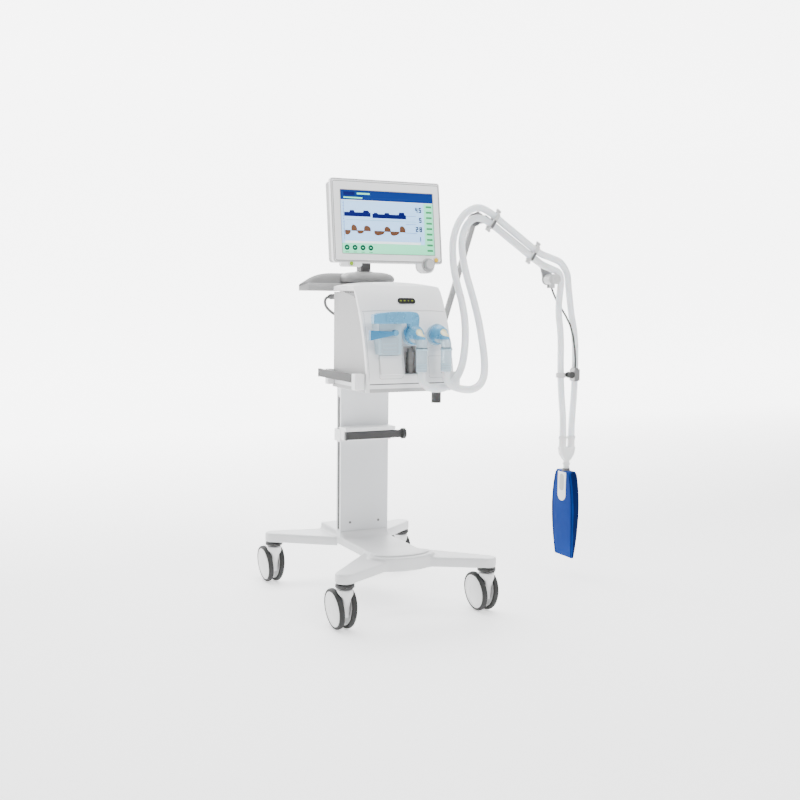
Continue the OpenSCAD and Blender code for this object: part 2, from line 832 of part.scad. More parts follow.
module caster_fork(stem) {
    placed() color("whitesmoke")
    union() {
        difference() {
            union() {
                translate([stem[0], stem[1], 58]) cylinder(h = 50, r1 = 12, r2 = fork_r);
                translate([stem[0], stem[1], 108]) cylinder(h = fork_top - 108, r = fork_r);
                translate([stem[0] - 16, stem[1] - 14, 44]) cube([32, 70, 74]);
            }
            for (side = [-1, 1])
                at_wheel(stem, side) about_x() translate([0, 0, -wheel_w / 2 - 2 - (side < 0 ? 30 : 0)])
                    cylinder(h = wheel_w + 34, r = wheel_r + 2.5);
        }
        for (side = [-1, 1])
            at_wheel(stem, side) about_x() translate([0, 0, side < 0 ? -7 : -13])
                cylinder(h = 20, r = axle_r);
        translate([stem[0], stem[1], fork_top - 1]) cylinder(h = 44, r = stem_r);
    }
}

module brake_ring(stem) {
    placed() color("dimgray")
    difference() {
        union() {
            translate([stem[0], stem[1], ring_z]) cylinder(h = ring_h, r = ring_r);
            translate([stem[0] - 9, stem[1] - ring_tab, ring_z]) cube([18, 20, ring_h - 2]);
        }
        translate([stem[0], stem[1], ring_z - 1]) cylinder(h = ring_h + 2, r = stem_r + slip);
    }
}

module wheel(stem, side) {
    half = wheel_w / 2;
    e = tyre_edge_r;
    steps = [0 : 15 : 90];
    rim = concat(
        [[46, -half]],
        [for (a = steps) [wheel_r - e + e * sin(a), -half + e - e * cos(a)]],
        [for (a = steps) [wheel_r - e + e * cos(a), half - e + e * sin(a)]],
        [[46, half]]);
    disc = [[axle_r + slip, -half], [46, -half], [46, half], [axle_r + slip, half]];
    placed() at_wheel(stem, side) about_x() {
        color("dimgray") rotate_extrude() polygon(rim);
        color("white") rotate_extrude() polygon(disc);
    }
}

base_frame();
column();
clamp_collar();
rails();
rail_caps();
platform();
rail_brackets();
head_bracket();
push_handle();
case_shell();
hood();
front_panel();
display_window();
blower();
battery_pack();
expiratory_valve();
valve_body();
inspiratory_port();
hose_cuffs();
oxygen_sensor();
gas_inlets();
monitor_cable();
arm_clamp();
valve_lever();
service_flap();
platform_knob();
monitor_swivel();
monitor_back();
monitor_bezel();
screen();
menu_knob();
alarm_key();
power_key();
arm_post();
arm_boom();
hose_clips();
arm_rod();
hose_clamp();
expiratory_hose();
inspiratory_hose();
y_piece();
test_lung();
arm_clamp_knob();
caster_fork(front_left);  // caster_fork_front_left
caster_fork(front_right);  // caster_fork_front_right
caster_fork(rear_left);  // caster_fork_rear_left
caster_fork(rear_right);  // caster_fork_rear_right
brake_ring(front_left);  // brake_ring_front_left
brake_ring(front_right);  // brake_ring_front_right
brake_ring(rear_left);  // brake_ring_rear_left
brake_ring(rear_right);  // brake_ring_rear_right
wheel(front_left, -1);  // wheel_front_left_a
wheel(front_left, 1);  // wheel_front_left_b
wheel(front_right, -1);  // wheel_front_right_a
wheel(front_right, 1);  // wheel_front_right_b
wheel(rear_left, -1);  // wheel_rear_left_a
wheel(rear_left, 1);  // wheel_rear_left_b
wheel(rear_right, -1);  // wheel_rear_right_a
wheel(rear_right, 1);  // wheel_rear_right_b
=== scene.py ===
import json
import math

import bmesh
import bpy
from mathutils import Matrix, Vector, noise

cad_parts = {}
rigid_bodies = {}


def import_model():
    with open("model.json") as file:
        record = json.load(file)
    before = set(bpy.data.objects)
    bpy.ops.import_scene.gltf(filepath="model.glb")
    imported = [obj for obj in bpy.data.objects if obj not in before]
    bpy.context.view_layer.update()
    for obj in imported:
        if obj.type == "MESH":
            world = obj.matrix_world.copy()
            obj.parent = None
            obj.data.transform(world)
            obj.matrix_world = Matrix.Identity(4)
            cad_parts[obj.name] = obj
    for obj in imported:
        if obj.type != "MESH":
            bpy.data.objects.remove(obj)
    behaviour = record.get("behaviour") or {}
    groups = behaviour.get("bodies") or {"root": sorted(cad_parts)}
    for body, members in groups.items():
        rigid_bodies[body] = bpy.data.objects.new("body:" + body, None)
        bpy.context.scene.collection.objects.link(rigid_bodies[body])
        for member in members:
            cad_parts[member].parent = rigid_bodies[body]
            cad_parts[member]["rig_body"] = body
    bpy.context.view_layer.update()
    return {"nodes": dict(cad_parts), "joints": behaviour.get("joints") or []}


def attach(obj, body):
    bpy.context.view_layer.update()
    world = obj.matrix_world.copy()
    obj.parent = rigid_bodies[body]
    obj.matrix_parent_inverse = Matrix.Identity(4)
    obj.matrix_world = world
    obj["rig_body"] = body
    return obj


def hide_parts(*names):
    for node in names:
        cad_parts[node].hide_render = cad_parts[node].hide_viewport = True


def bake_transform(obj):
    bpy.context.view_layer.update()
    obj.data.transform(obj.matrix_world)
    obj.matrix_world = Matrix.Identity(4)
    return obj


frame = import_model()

NODES = frame["nodes"]
JOINTS = {j["name"]: j for j in frame["joints"]}
SCENE = bpy.context.scene

# The trolley's own frame: millimetres, X from the column's middle, Y from between the casters
neck = JOINTS["monitor_swivel"]["pos_m"]
OX, OY = neck[0], neck[1] - 0.111


def P(x, y, z):
    return Vector((x / 1000 + OX, y / 1000 + OY, z / 1000))


# the monitor's screen leans back by this much
TILT = math.radians(-7)


def M(x, y, z):
    """A point of the monitor's own frame: X across, Y into the monitor, Z up its face."""
    return P(x, -66 + y * math.cos(TILT) - z * math.sin(TILT), 1222 + y * math.sin(TILT) + z * math.cos(TILT))


# ---------------------------------------------------------------- camera, floor and light

def camera():
    """The view from the front left, a little above the unit."""
    yaw, pitch, roll = math.radians(26.6), math.radians(5.63), math.radians(0.63)
    w = Vector((math.sin(yaw) * math.cos(pitch), math.cos(yaw) * math.cos(pitch), -math.sin(pitch)))
    right = Vector((math.cos(yaw), -math.sin(yaw), 0))
    up = right.cross(w).normalized()
    r = (math.cos(roll) * right + math.sin(roll) * up).normalized()
    u = r.cross(w).normalized()
    data = bpy.data.cameras.new("photo_camera")
    data.lens, data.sensor_width = 49.95, 36
    data.clip_start, data.clip_end = 0.1, 60
    cam = bpy.data.objects.new("photo_camera", data)
    m = Matrix((r, u, -w)).transposed().to_4x4()
    m.translation = P(-1539, -3241, 1007)
    cam.matrix_world = m
    SCENE.collection.objects.link(cam)
    SCENE.camera = cam


camera()


def area_light(name, where, at, size, power, tint=(1, 1, 1)):
    data = bpy.data.lights.new(name, "AREA")
    data.shape, data.size, data.energy, data.color = "DISK", size, power, tint
    o = bpy.data.objects.new(name, data)
    o.location = where
    o.rotation_euler = (Vector(at) - Vector(where)).to_track_quat("-Z", "Y").to_euler()
    SCENE.collection.objects.link(o)


world = bpy.data.worlds.new("studio")
world.use_nodes = True
world.node_tree.nodes["Background"].inputs[0].default_value = (0.97, 0.98, 1.0, 1)
world.node_tree.nodes["Background"].inputs[1].default_value = 0.6
SCENE.world = world
area_light("key_light", (0.7, -3.3, 3.6), (0, 0, 0.8), 1.5, 96, (1.0, 0.99, 0.98))
area_light("side_light", (3.6, -1.2, 2.0), (0, 0, 0.7), 1.6, 16, (0.97, 0.98, 1.0))
area_light("top_light", (0.1, 0.3, 4.2), (0, 0, 0.0), 3.2, 240)
area_light("back_light", (-0.8, 3.4, 2.4), (0, 0, 0.8), 2.0, 40)


# ---------------------------------------------------------------- materials

def material(name, low, high, rough, metal=0.0, grain=120.0, bump=0.12, fine=900.0, coat=0.0,
             alpha=1.0, trans=0.0, ior=1.5, sub=0.0, glow=None, depth=0.0004, stretch=(1, 1, 1), spec=0.5):
    """A procedural finish: cloudy colour between two tones, uneven roughness and a fine bump."""
    m = bpy.data.materials.new(name)
    m.use_nodes = True
    t = m.node_tree
    b = t.nodes["Principled BSDF"]
    pos = t.nodes.new("ShaderNodeTexCoord")
    mapping = t.nodes.new("ShaderNodeMapping")
    mapping.inputs["Scale"].default_value = stretch
    t.links.new(pos.outputs["Object"], mapping.inputs["Vector"])
    cloud = t.nodes.new("ShaderNodeTexNoise")
    cloud.inputs["Scale"].default_value = grain / 10
    cloud.inputs["Detail"].default_value = 5
    t.links.new(mapping.outputs["Vector"], cloud.inputs["Vector"])
    ramp = t.nodes.new("ShaderNodeValToRGB")
    ramp.color_ramp.elements[0].position, ramp.color_ramp.elements[1].position = 0.32, 0.68
    ramp.color_ramp.elements[0].color = (*low, 1)
    ramp.color_ramp.elements[1].color = (*high, 1)
    t.links.new(cloud.outputs["Fac"], ramp.inputs["Fac"])
    t.links.new(ramp.outputs["Color"], b.inputs["Base Color"])
    speck = t.nodes.new("ShaderNodeTexNoise")
    speck.inputs["Scale"].default_value = grain
    speck.inputs["Detail"].default_value = 3
    t.links.new(mapping.outputs["Vector"], speck.inputs["Vector"])
    span = t.nodes.new("ShaderNodeMapRange")
    span.inputs["To Min"].default_value = rough
    span.inputs["To Max"].default_value = min(1, rough + 0.14)
    t.links.new(speck.outputs["Fac"], span.inputs["Value"])
    t.links.new(span.outputs["Result"], b.inputs["Roughness"])
    tex = t.nodes.new("ShaderNodeTexNoise")
    tex.inputs["Scale"].default_value = fine
    tex.inputs["Detail"].default_value = 2
    t.links.new(mapping.outputs["Vector"], tex.inputs["Vector"])
    bm = t.nodes.new("ShaderNodeBump")
    bm.inputs["Strength"].default_value = bump
    bm.inputs["Distance"].default_value = depth
    t.links.new(tex.outputs["Fac"], bm.inputs["Height"])
    t.links.new(bm.outputs["Normal"], b.inputs["Normal"])
    b.inputs["Metallic"].default_value = metal
    b.inputs["IOR"].default_value = ior
    b.inputs["Specular IOR Level"].default_value = spec
    b.inputs["Alpha"].default_value = alpha
    b.inputs["Transmission Weight"].default_value = trans
    b.inputs["Coat Weight"].default_value = coat
    b.inputs["Coat Roughness"].default_value = 0.12
    b.inputs["Subsurface Weight"].default_value = sub
    b.inputs["Subsurface Scale"].default_value = 0.004
    if glow:
        t.links.new(ramp.outputs["Color"], b.inputs["Emission Color"])
        b.inputs["Emission Strength"].default_value = glow
    return m


def g(v, warm=0.0):
    """A linear grey of that 0..255 display value."""
    c = v / 255
    c = c / 12.92 if c <= 0.04045 else ((c + 0.055) / 1.055) ** 2.4
    return (c * (1 + warm), c, c * (1 - warm))


def rgb(r, gr, b):
    return tuple(g(v)[1] for v in (r, gr, b))


cast_white = material("cast_white", g(208, -0.01), g(217, -0.01), 0.36, grain=40, bump=0.22, fine=1500)
column_grey = material("column_grey", g(217, -0.02), g(225, -0.02), 0.38, grain=40, bump=0.2, fine=1400)
white_plastic = material("white_plastic", g(231, -0.005), g(238, -0.005), 0.38, grain=60, bump=0.18,
                         fine=1600, sub=0.03)
side_grey = material("side_grey", g(166), g(174), 0.42, grain=45, bump=0.25, fine=1500, spec=0.3)
handle_grey = material("handle_grey", g(120), g(132), 0.46, grain=60, bump=0.2, fine=1400)
handle_light = material("handle_light", g(178), g(188), 0.4, grain=60, bump=0.18, fine=1400)
back_grey = material("back_grey", g(160), g(170), 0.44, grain=60, bump=0.24, fine=1300)
dark_plastic = material("dark_plastic", g(38), g(50), 0.46, grain=80, bump=0.25, fine=1300)
neck_grey = material("neck_grey", g(58), g(70), 0.46, grain=80, bump=0.22, fine=1400)
rail_steel = material("rail_steel", g(52), g(66), 0.5, metal=0.2, grain=60, bump=0.14, fine=1200,
                      stretch=(1, 0.08, 1))
# the dark of the painted shade strips down the column's sides
column_shade_dark = material("column_shade_dark", g(52), g(62), 0.55, grain=70, bump=0.2, fine=1200)
tyre_grey = material("tyre_grey", g(34), g(44), 0.66, grain=140, bump=0.4, fine=1100, depth=0.0006)
hub_white = material("hub_white", g(218), g(226), 0.36, grain=60, bump=0.14, fine=1300)
display_black = material("display_black", g(12), g(20), 0.08, grain=30, bump=0.02, coat=0.6)
blue_clear = material("blue_clear", rgb(92, 164, 206), rgb(108, 178, 216), 0.2, grain=30, bump=0.05, fine=500,
                      trans=0.3, coat=0.15, ior=1.4, spec=0.35)
blue_deep = material("blue_deep", rgb(52, 120, 164), rgb(88, 152, 190), 0.24, grain=50, bump=0.05, fine=500,
                     trans=0.05, coat=0.1, ior=1.42, spec=0.3)
pale_clear = material("pale_clear", rgb(190, 222, 238), rgb(214, 236, 246), 0.12, grain=40, bump=0.05,
                      fine=500, trans=0.35, coat=0.35, ior=1.42)
clear_tube = material("clear_tube", rgb(206, 228, 240), rgb(224, 239, 246), 0.1, grain=40, bump=0.04,
                      fine=500, trans=0.5, coat=0.45, ior=1.4)
# a cream tint, the painted highlight on the right of each blue port dome
dome_highlight_cream = material("dome_highlight_cream", rgb(228, 220, 172), rgb(240, 236, 204), 0.16, grain=50, bump=0.05,
                       fine=500, trans=0.2, coat=0.35, ior=1.45)
sensor_metal = material("sensor_metal", g(118, 0.03), g(140, 0.03), 0.26, metal=0.85, grain=80, bump=0.1,
                        fine=900, stretch=(1, 1, 8))
brass_ring = material("brass_ring", g(118, 0.05), g(140, 0.05), 0.3, metal=0.85, grain=80, bump=0.1)
connector_metal = material("connector_metal", g(128), g(150), 0.24, metal=0.9, grain=60, bump=0.06)
arm_metal = material("arm_metal", g(132), g(148), 0.4, metal=0.15, grain=50, bump=0.14, fine=1100)
joint_light = material("joint_light", g(188), g(200), 0.38, grain=60, bump=0.16, fine=1300)
rod_grey = material("rod_grey", g(62), g(80), 0.36, metal=0.3, grain=60, bump=0.12)
hose_white = material("hose_white", rgb(236, 240, 244), rgb(247, 250, 253), 0.32, grain=60, bump=0.1,
                      fine=700, trans=0.2, sub=0.2, ior=1.38)
strap_grey = material("strap_grey", g(76), g(92), 0.5, grain=90, bump=0.2)
lung_blue = material("lung_blue", rgb(0, 38, 106), rgb(0, 47, 120), 0.5, grain=60, bump=0.25, fine=1000,
                     ior=1.36, spec=0.1)
lung_seam = material("lung_seam", rgb(0, 16, 62), rgb(2, 24, 76), 0.5, grain=60, bump=0.25, fine=1000,
                     ior=1.36, spec=0.1)
fitting_white = material("fitting_white", g(226), g(238), 0.28, grain=60, bump=0.1, trans=0.18, sub=0.1)
knob_grey = material("knob_grey", g(144), g(156), 0.42, grain=60, bump=0.14, fine=1400)
knob_face = material("knob_face", g(176), g(188), 0.36, grain=60, bump=0.12, fine=1400)
key_yellow = material("key_yellow", rgb(206, 160, 20), rgb(222, 178, 40), 0.3, grain=60, bump=0.1)
key_green = material("key_green", rgb(120, 158, 10), rgb(140, 176, 24), 0.26, grain=60, bump=0.1, glow=0.1)
cable_grey = material("cable_grey", g(104), g(120), 0.5, grain=90, bump=0.2)
seam_dark = material("seam_dark", g(38), g(50), 0.6, grain=80, bump=0.15)
screw_metal = material("screw_metal", g(110), g(134), 0.3, metal=0.8, grain=90, bump=0.12)


def screen_ink(name, low, high, glow=0.3):
    return material(name, low, high, 0.3, grain=14, bump=0.01, glow=glow, spec=0.08)


ink_field = screen_ink("ink_field", rgb(156, 202, 250), rgb(170, 212, 254), 0.75)
ink_bar = screen_ink("ink_bar", rgb(10, 40, 106), rgb(16, 48, 118))
ink_navy = screen_ink("ink_navy", rgb(6, 10, 78), rgb(10, 16, 92))
ink_olive = screen_ink("ink_olive", rgb(84, 54, 36), rgb(102, 70, 50))
ink_green = screen_ink("ink_green", rgb(48, 132, 84), rgb(64, 150, 98))
ink_mint = screen_ink("ink_mint", rgb(118, 226, 176), rgb(134, 234, 190), 0.65)
ink_button = screen_ink("ink_button", rgb(4, 72, 48), rgb(8, 86, 60))
ink_white = screen_ink("ink_white", rgb(232, 240, 246), rgb(240, 246, 250), 0.6)
ink_dark = screen_ink("ink_dark", rgb(2, 6, 20), rgb(6, 12, 30), 0.02)
ink_glyph = screen_ink("ink_glyph", rgb(96, 108, 36), rgb(112, 124, 48), 0.3)


# ---------------------------------------------------------------- mesh helpers

def finish_mesh(me, angle=38):
    me.shade_smooth()
    me.set_sharp_from_angle(angle=math.radians(angle))


def placed(o, body, replaces):
    """o on its body, with the CAD nodes that it stands in for hidden."""
    if body:
        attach(o, body)
    if replaces:
        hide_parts(*replaces)
    return o


def add(name, me, mats, body, replaces=(), angle=38):
    """A mesh as a finished piece: in the scene, with its materials and body."""
    o = bpy.data.objects.new(name, me)
    SCENE.collection.objects.link(o)
    if not isinstance(mats, (list, tuple)):
        mats = [mats]
    me.materials.clear()
    for m in mats:
        me.materials.append(m)
    finish_mesh(me, angle)
    return placed(o, body, replaces)


def face_out(me):
    """Turns every face of a closed mesh outwards."""
    bm = bmesh.new()
    bm.from_mesh(me)
    bmesh.ops.recalc_face_normals(bm, faces=bm.faces)
    bm.to_mesh(me)
    bm.free()


def from_lists(verts, faces):
    me = bpy.data.meshes.new("m")
    me.from_pydata([tuple(v) for v in verts], [], faces)
    me.validate()
    return me


def applied(o):
    """o with its modifiers applied, in its own frame."""
    deps = bpy.context.evaluated_depsgraph_get()
    me = bpy.data.meshes.new_from_object(o.evaluated_get(deps))
    old = o.data
    o.modifiers.clear()
    o.data = me
    bpy.data.meshes.remove(old)
    return o


def clean_copy(node, name, tol=0.6):
    """A CAD node's mesh as a new object, its flat faces merged into polygons."""
    bm = bmesh.new()
    bm.from_mesh(NODES[node].data)
    bmesh.ops.remove_doubles(bm, verts=bm.verts, dist=2e-5)
    bmesh.ops.dissolve_limit(bm, angle_limit=math.radians(tol), verts=bm.verts, edges=bm.edges)
    me = bpy.data.meshes.new(name)
    bm.to_mesh(me)
    bm.free()
    o = bpy.data.objects.new(name, me)
    SCENE.collection.objects.link(o)
    return o


def settle(o, mats, node, angle=38, normals=True):
    """Gives a finished copy its finish and its body, in place of the CAD node."""
    if normals:
        mod = o.modifiers.new("n", "WEIGHTED_NORMAL")
        mod.keep_sharp = True
    if not isinstance(mats, (list, tuple)):
        mats = [mats]
    o.data.materials.clear()
    for m in mats:
        o.data.materials.append(m)
    finish_mesh(o.data, angle)
    applied(o)
    if node:
        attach(o, NODES[node]["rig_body"])
        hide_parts(node)
    return o


def bevelled(node, name, mats, width=2.0, segments=3, limit=40, angle=38):
    o = clean_copy(node, name)
    mod = o.modifiers.new("b", "BEVEL")
    mod.width, mod.segments, mod.limit_method = width / 1000, segments, "ANGLE"
    mod.angle_limit = math.radians(limit)
    mod.use_clamp_overlap = True
    mod.miter_outer = "MITER_ARC"
    applied(o)
    return settle(o, mats, node, angle)


def moulded(node, name, mats, voxel=2.5, rounds=8, factor=0.5, angle=60):
    """A cast or moulded copy: remeshed fine and smoothed, so its corners flow into each other."""
    o = clean_copy(node, name)
    mod = o.modifiers.new("r", "REMESH")
    mod.mode, mod.voxel_size = "VOXEL", voxel / 1000
    sm = o.modifiers.new("s", "SMOOTH")
    sm.factor, sm.iterations = factor, rounds
    applied(o)
    return settle(o, mats, node, angle, normals=False)


def prism(name, outline, place, depth_from, depth_to, mats, body, bevel=0.0, segments=3,
          replaces=(), angle=38):
    """An outline (pairs) swept between two depths; place(u, v, d) gives the point."""
    n = len(outline)
    vs = [place(u, v, depth_from) for u, v in outline] + [place(u, v, depth_to) for u, v in outline]
    fs = [tuple(range(n - 1, -1, -1)), tuple(range(n, 2 * n))]
    fs += [(i, (i + 1) % n, n + (i + 1) % n, n + i) for i in range(n)]
    me = from_lists(vs, fs)
    face_out(me)
    o = bpy.data.objects.new(name, me)
    SCENE.collection.objects.link(o)
    if bevel:
        mod = o.modifiers.new("b", "BEVEL")
        mod.width, mod.segments, mod.limit_method = bevel / 1000, segments, "ANGLE"
        mod.angle_limit = math.radians(40)
        applied(o)
    if not isinstance(mats, (list, tuple)):
        mats = [mats]
    o.data.materials.clear()
    for m in mats:
        o.data.materials.append(m)
    mod = o.modifiers.new("n", "WEIGHTED_NORMAL")
    mod.keep_sharp = True
    finish_mesh(o.data, angle)
    applied(o)
    return placed(o, body, replaces)


def round_rect(w, h, r, cx=0.0, cy=0.0, k=6):
    pts = []
    for sx, sy, a0 in ((1, 1, 0), (-1, 1, 90), (-1, -1, 180), (1, -1, 270)):
        for i in range(k + 1):
            a = math.radians(a0 + 90 * i / k)
            pts.append((cx + sx * (w / 2 - r) + r * math.cos(a), cy + sy * (h / 2 - r) + r * math.sin(a)))
    return pts


def bar(u0, v0, u1, v1):
    return [(u0, v0), (u1, v0), (u1, v1), (u0, v1)]


def disc(r, cx=0.0, cy=0.0, n=40):
    return [(cx + r * math.cos(2 * math.pi * i / n), cy + r * math.sin(2 * math.pi * i / n))
            for i in range(n)]


def lathe(name, profile, origin, axis, mats, body, replaces=(), n=56, material_of=None,
          angle=38, closed=True):
    """A turned shape. profile: pairs of distance along the axis and radius, closed on the axis or in itself."""
    axis = Vector(axis).normalized()
    side = axis.orthogonal().normalized()
    up = axis.cross(side)
    vs, fs, mi = [], [], []
    rings = []
    for d, r in profile:
        if r < 1e-6:
            rings.append([len(vs)])
            vs.append(origin + axis * d / 1000)
        else:
            rings.append(list(range(len(vs), len(vs) + n)))
            for i in range(n):
                a = 2 * math.pi * i / n
                vs.append(origin + axis * d / 1000 + (side * math.cos(a) + up * math.sin(a)) * r / 1000)
    pairs = [(i, i + 1) for i in range(len(rings) - 1)]
    if closed and len(rings[0]) > 1 and len(rings[-1]) > 1:
        pairs.append((len(rings) - 1, 0))
    for i, j in pairs:
        a, b = rings[i], rings[j]
        for k in range(n):
            l = (k + 1) % n
            if len(a) == 1 and len(b) == 1:
                continue
            if len(a) == 1:
                fs.append((a[0], b[k], b[l]))
            elif len(b) == 1:
                fs.append((a[k], b[0], a[l]))
            else:
                fs.append((a[k], b[k], b[l], a[l]))
            mi.append(material_of[i] if material_of else 0)
    me = bpy.data.meshes.new(name)
    me.from_pydata([tuple(v) for v in vs], [], fs)
    for p, m in zip(me.polygons, mi):
        p.material_index = m
    face_out(me)
    o = bpy.data.objects.new(name, me)
    SCENE.collection.objects.link(o)
    if not isinstance(mats, (list, tuple)):
        mats = [mats]
    for m in mats:
        me.materials.append(m)
    finish_mesh(me, angle)
    return placed(o, body, replaces)


# ---------------------------------------------------------------- hoses and cable

def spline(points, step):
    """Points about step apart on a smooth curve through the route's points."""
    pts = [Vector(p) for p in points]
    pts = [2 * pts[0] - pts[1]] + pts + [2 * pts[-1] - pts[-2]]
    fine = []
    for i in range(1, len(pts) - 2):
        a, b, c, d = pts[i - 1:i + 3]
        for k in range(40):
            t = k / 40
            fine.append(0.5 * ((2 * b) + (c - a) * t + (2 * a - 5 * b + 4 * c - d) * t * t
                               + (3 * b - a - 3 * c + d) * t ** 3))
    fine.append(pts[-2])
    total = sum((q - p).length for p, q in zip(fine, fine[1:]))
    n = max(2, round(total / step))
    out, run, i = [fine[0]], 0.0, 0
    for k in range(1, n):
        want = total * k / n
        while run + (fine[i + 1] - fine[i]).length < want:
            run += (fine[i + 1] - fine[i]).length
            i += 1
        f = (want - run) / (fine[i + 1] - fine[i]).length
        out.append(fine[i].lerp(fine[i + 1], f))
    out.append(fine[-1])
    return out, total


def frames(path):
    """Two unit vectors across the path at each point, carried along it without twist."""
    side = None
    res = []
    for i in range(len(path)):
        t = (path[min(i + 1, len(path) - 1)] - path[max(i - 1, 0)]).normalized()
        if side is None:
            side = t.orthogonal().normalized()
        side = (side - t * side.dot(t)).normalized()
        res.append((side.copy(), t.cross(side)))
    return res


def tube_faces(levels, around):
    """The faces of a closed tube: its side, level by level, then its two ends."""
    fs = []
    for i in range(levels - 1):
        for k in range(around):
            a, b = i * around + k, i * around + (k + 1) % around
            fs.append((a, b, b + around, a + around))
    fs.append(tuple(range(around - 1, -1, -1)))
    fs.append(tuple(range((levels - 1) * around, levels * around)))
    return fs


def sweep(name, path, radii, mats, sides=16, frame_list=None):
    """A round tube along a path given in the trolley's millimetres."""
    frs = frame_list or frames(path)
    vs = []
    for p, r, (s, u) in zip(path, radii, frs):
        for k in range(sides):
            a = 2 * math.pi * k / sides
            vs.append((p + (s * math.cos(a) + u * math.sin(a)) * r) / 1000)
    vs = [Vector(v) + Vector((OX, OY, 0)) for v in vs]
    me = bpy.data.meshes.new(name)
    me.from_pydata([tuple(v) for v in vs], [], tube_faces(len(path), sides))
    o = bpy.data.objects.new(name, me)
    SCENE.collection.objects.link(o)
    me.materials.append(mats)
    finish_mesh(me, 75)
    return o


EXPIRATORY = [
    [4, -302, 765], [4, -302, 749], [9, -302, 733], [28, -300, 719], [62, -289, 712],
    [98, -277, 714], [132, -265, 728], [161, -250, 752], [184, -233, 784], [204, -210, 826],
    [222, -182, 872], [234, -154, 922], [238, -128, 972], [236, -104, 1022], [234, -82, 1074],
    [238, -64, 1124], [246, -52, 1176], [266, -46, 1226], [298, -43, 1264], [344, -42, 1282],
    [392, -42, 1266], [438, -42, 1236], [490, -42, 1202], [542, -42, 1168], [590, -42, 1139],
    [636, -42, 1124], [676, -42, 1108], [703, -42, 1072], [711, -42, 1026], [718, -42, 980],
    [727, -42, 928], [738, -42, 880], [745, -42, 828], [747, -42, 770], [747, -42, 704],
    [745, -42, 638], [741, -42, 578], [739, -42, 528], [739, -42, 506],
]
INSPIRATORY = [
    [88, -302, 765], [88, -302, 750], [95, -302, 734], [115, -302, 718], [146, -302, 709],
    [180, -297, 707], [212, -286, 716], [238, -268, 734], [256, -247, 762], [268, -223, 802],
    [276, -196, 848], [281, -168, 902], [281, -142, 956], [278, -116, 1010], [272, -94, 1064],
    [270, -74, 1118], [274, -58, 1164], [286, -48, 1200], [306, -43, 1230], [334, -42, 1247],
    [368, -42, 1243], [414, -42, 1218], [466, -42, 1184], [518, -42, 1150], [568, -42, 1118],
    [604, -42, 1099], [638, -42, 1087], [668, -42, 1074], [679, -42, 1046], [676, -42, 1006],
    [673, -42, 966], [674, -42, 926], [681, -42, 880], [685, -42, 830], [686, -42, 776],
    [688, -42, 712], [694, -42, 640], [701, -42, 578], [703, -42, 528], [703, -42, 506],
]


def hose(name, route, splits, node):
    path, total = spline(route, 1.05)
    frs = frames(path)
    # distance along the hose of each route point, to cut it where it changes body
    marks = []
    for i in splits:
        target = Vector(route[i])
        marks.append(min(range(len(path)), key=lambda k: (path[k] - target).length))
    cuts = [0] + marks + [len(path) - 1]
    radii = []
    for i in range(len(path)):
        s = i * total / (len(path) - 1)
        wave = 0.5 + 0.5 * math.cos(2 * math.pi * s / 4.2)
        r = 10.9 + 1.1 * wave ** 0.8
        end = min(s, total - s)
        if end < 26:
            r = 11.9 if end > 4 else 11.5
        radii.append(r)
    spans = [
        ("root", "arm_post"), ("arm_post", "arm_boom"), ("arm_boom",),
        ("arm_boom", "arm_hanger"), ("arm_hanger",),
    ]
    for k, bodies in enumerate(spans):
        a, b = cuts[k], cuts[k + 1]
        sub, fr = path[a:b + 1], frs[a:b + 1]
        o = sweep(f"{name}_{k + 1}", sub, radii[a:b + 1], hose_white, 16, fr)
        ends = [p / 1000 + Vector((OX, OY, 0)) for p in (sub[0], sub[-1])]
        if len(bodies) == 2:
            tuple(ends[0])
            tuple(ends[1])
            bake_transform(o)
        else:
            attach(o, bodies[0])
        if k == 0:
            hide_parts(node)
        length = sum((q - p).length for p, q in zip(sub, sub[1:])) / 1000
        line = [tuple(p / 1000 + Vector((OX, OY, 0))) for p in sub[::6]] + [tuple(ends[1])]
        tuple(ends[0])


wye = moulded("y_piece", "wye", fitting_white, voxel=1.2, rounds=6)
hose("expiratory_hose", EXPIRATORY, (15, 20, 24, 28), "expiratory_hose")
hose("inspiratory_hose", INSPIRATORY, (15, 20, 24, 29), "inspiratory_hose")

CABLE = [
    [-86, 106, 985], [-104, 106, 985], [-128, 99, 984], [-146, 84, 978], [-156, 66, 966],
    [-155, 56, 952], [-146, 49, 940], [-134, 42, 930], [-121, 35, 923], [-118, 28, 922], [-118, 22, 922],
]
cable_path, cable_len = spline(CABLE, 3.0)
cable = sweep("monitor_lead", cable_path, [4.4] * len(cable_path), cable_grey, 14)
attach(cable, "root")
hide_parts("monitor_cable")
([tuple(P(*p)) for p in cable_path[::3]]
        + [tuple(P(*cable_path[-1]))])


plug = sweep("lead_plug", cable_path[1:17], [5.4, 7.6, 8.6] + [9.0] * 9 + [8.4, 7.2, 6.0, 5.0], handle_grey,
             24)
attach(plug, "root")


# ---------------------------------------------------------------- base and casters

moulded("base_frame", "base_casting", cast_white, voxel=3.0, rounds=14)

STEMS = {"front_left": (-243, -303), "front_right": (243, -303), "rear_left": (-243, 303),
         "rear_right": (243, 303)}
CAMBER = math.radians(5.3)
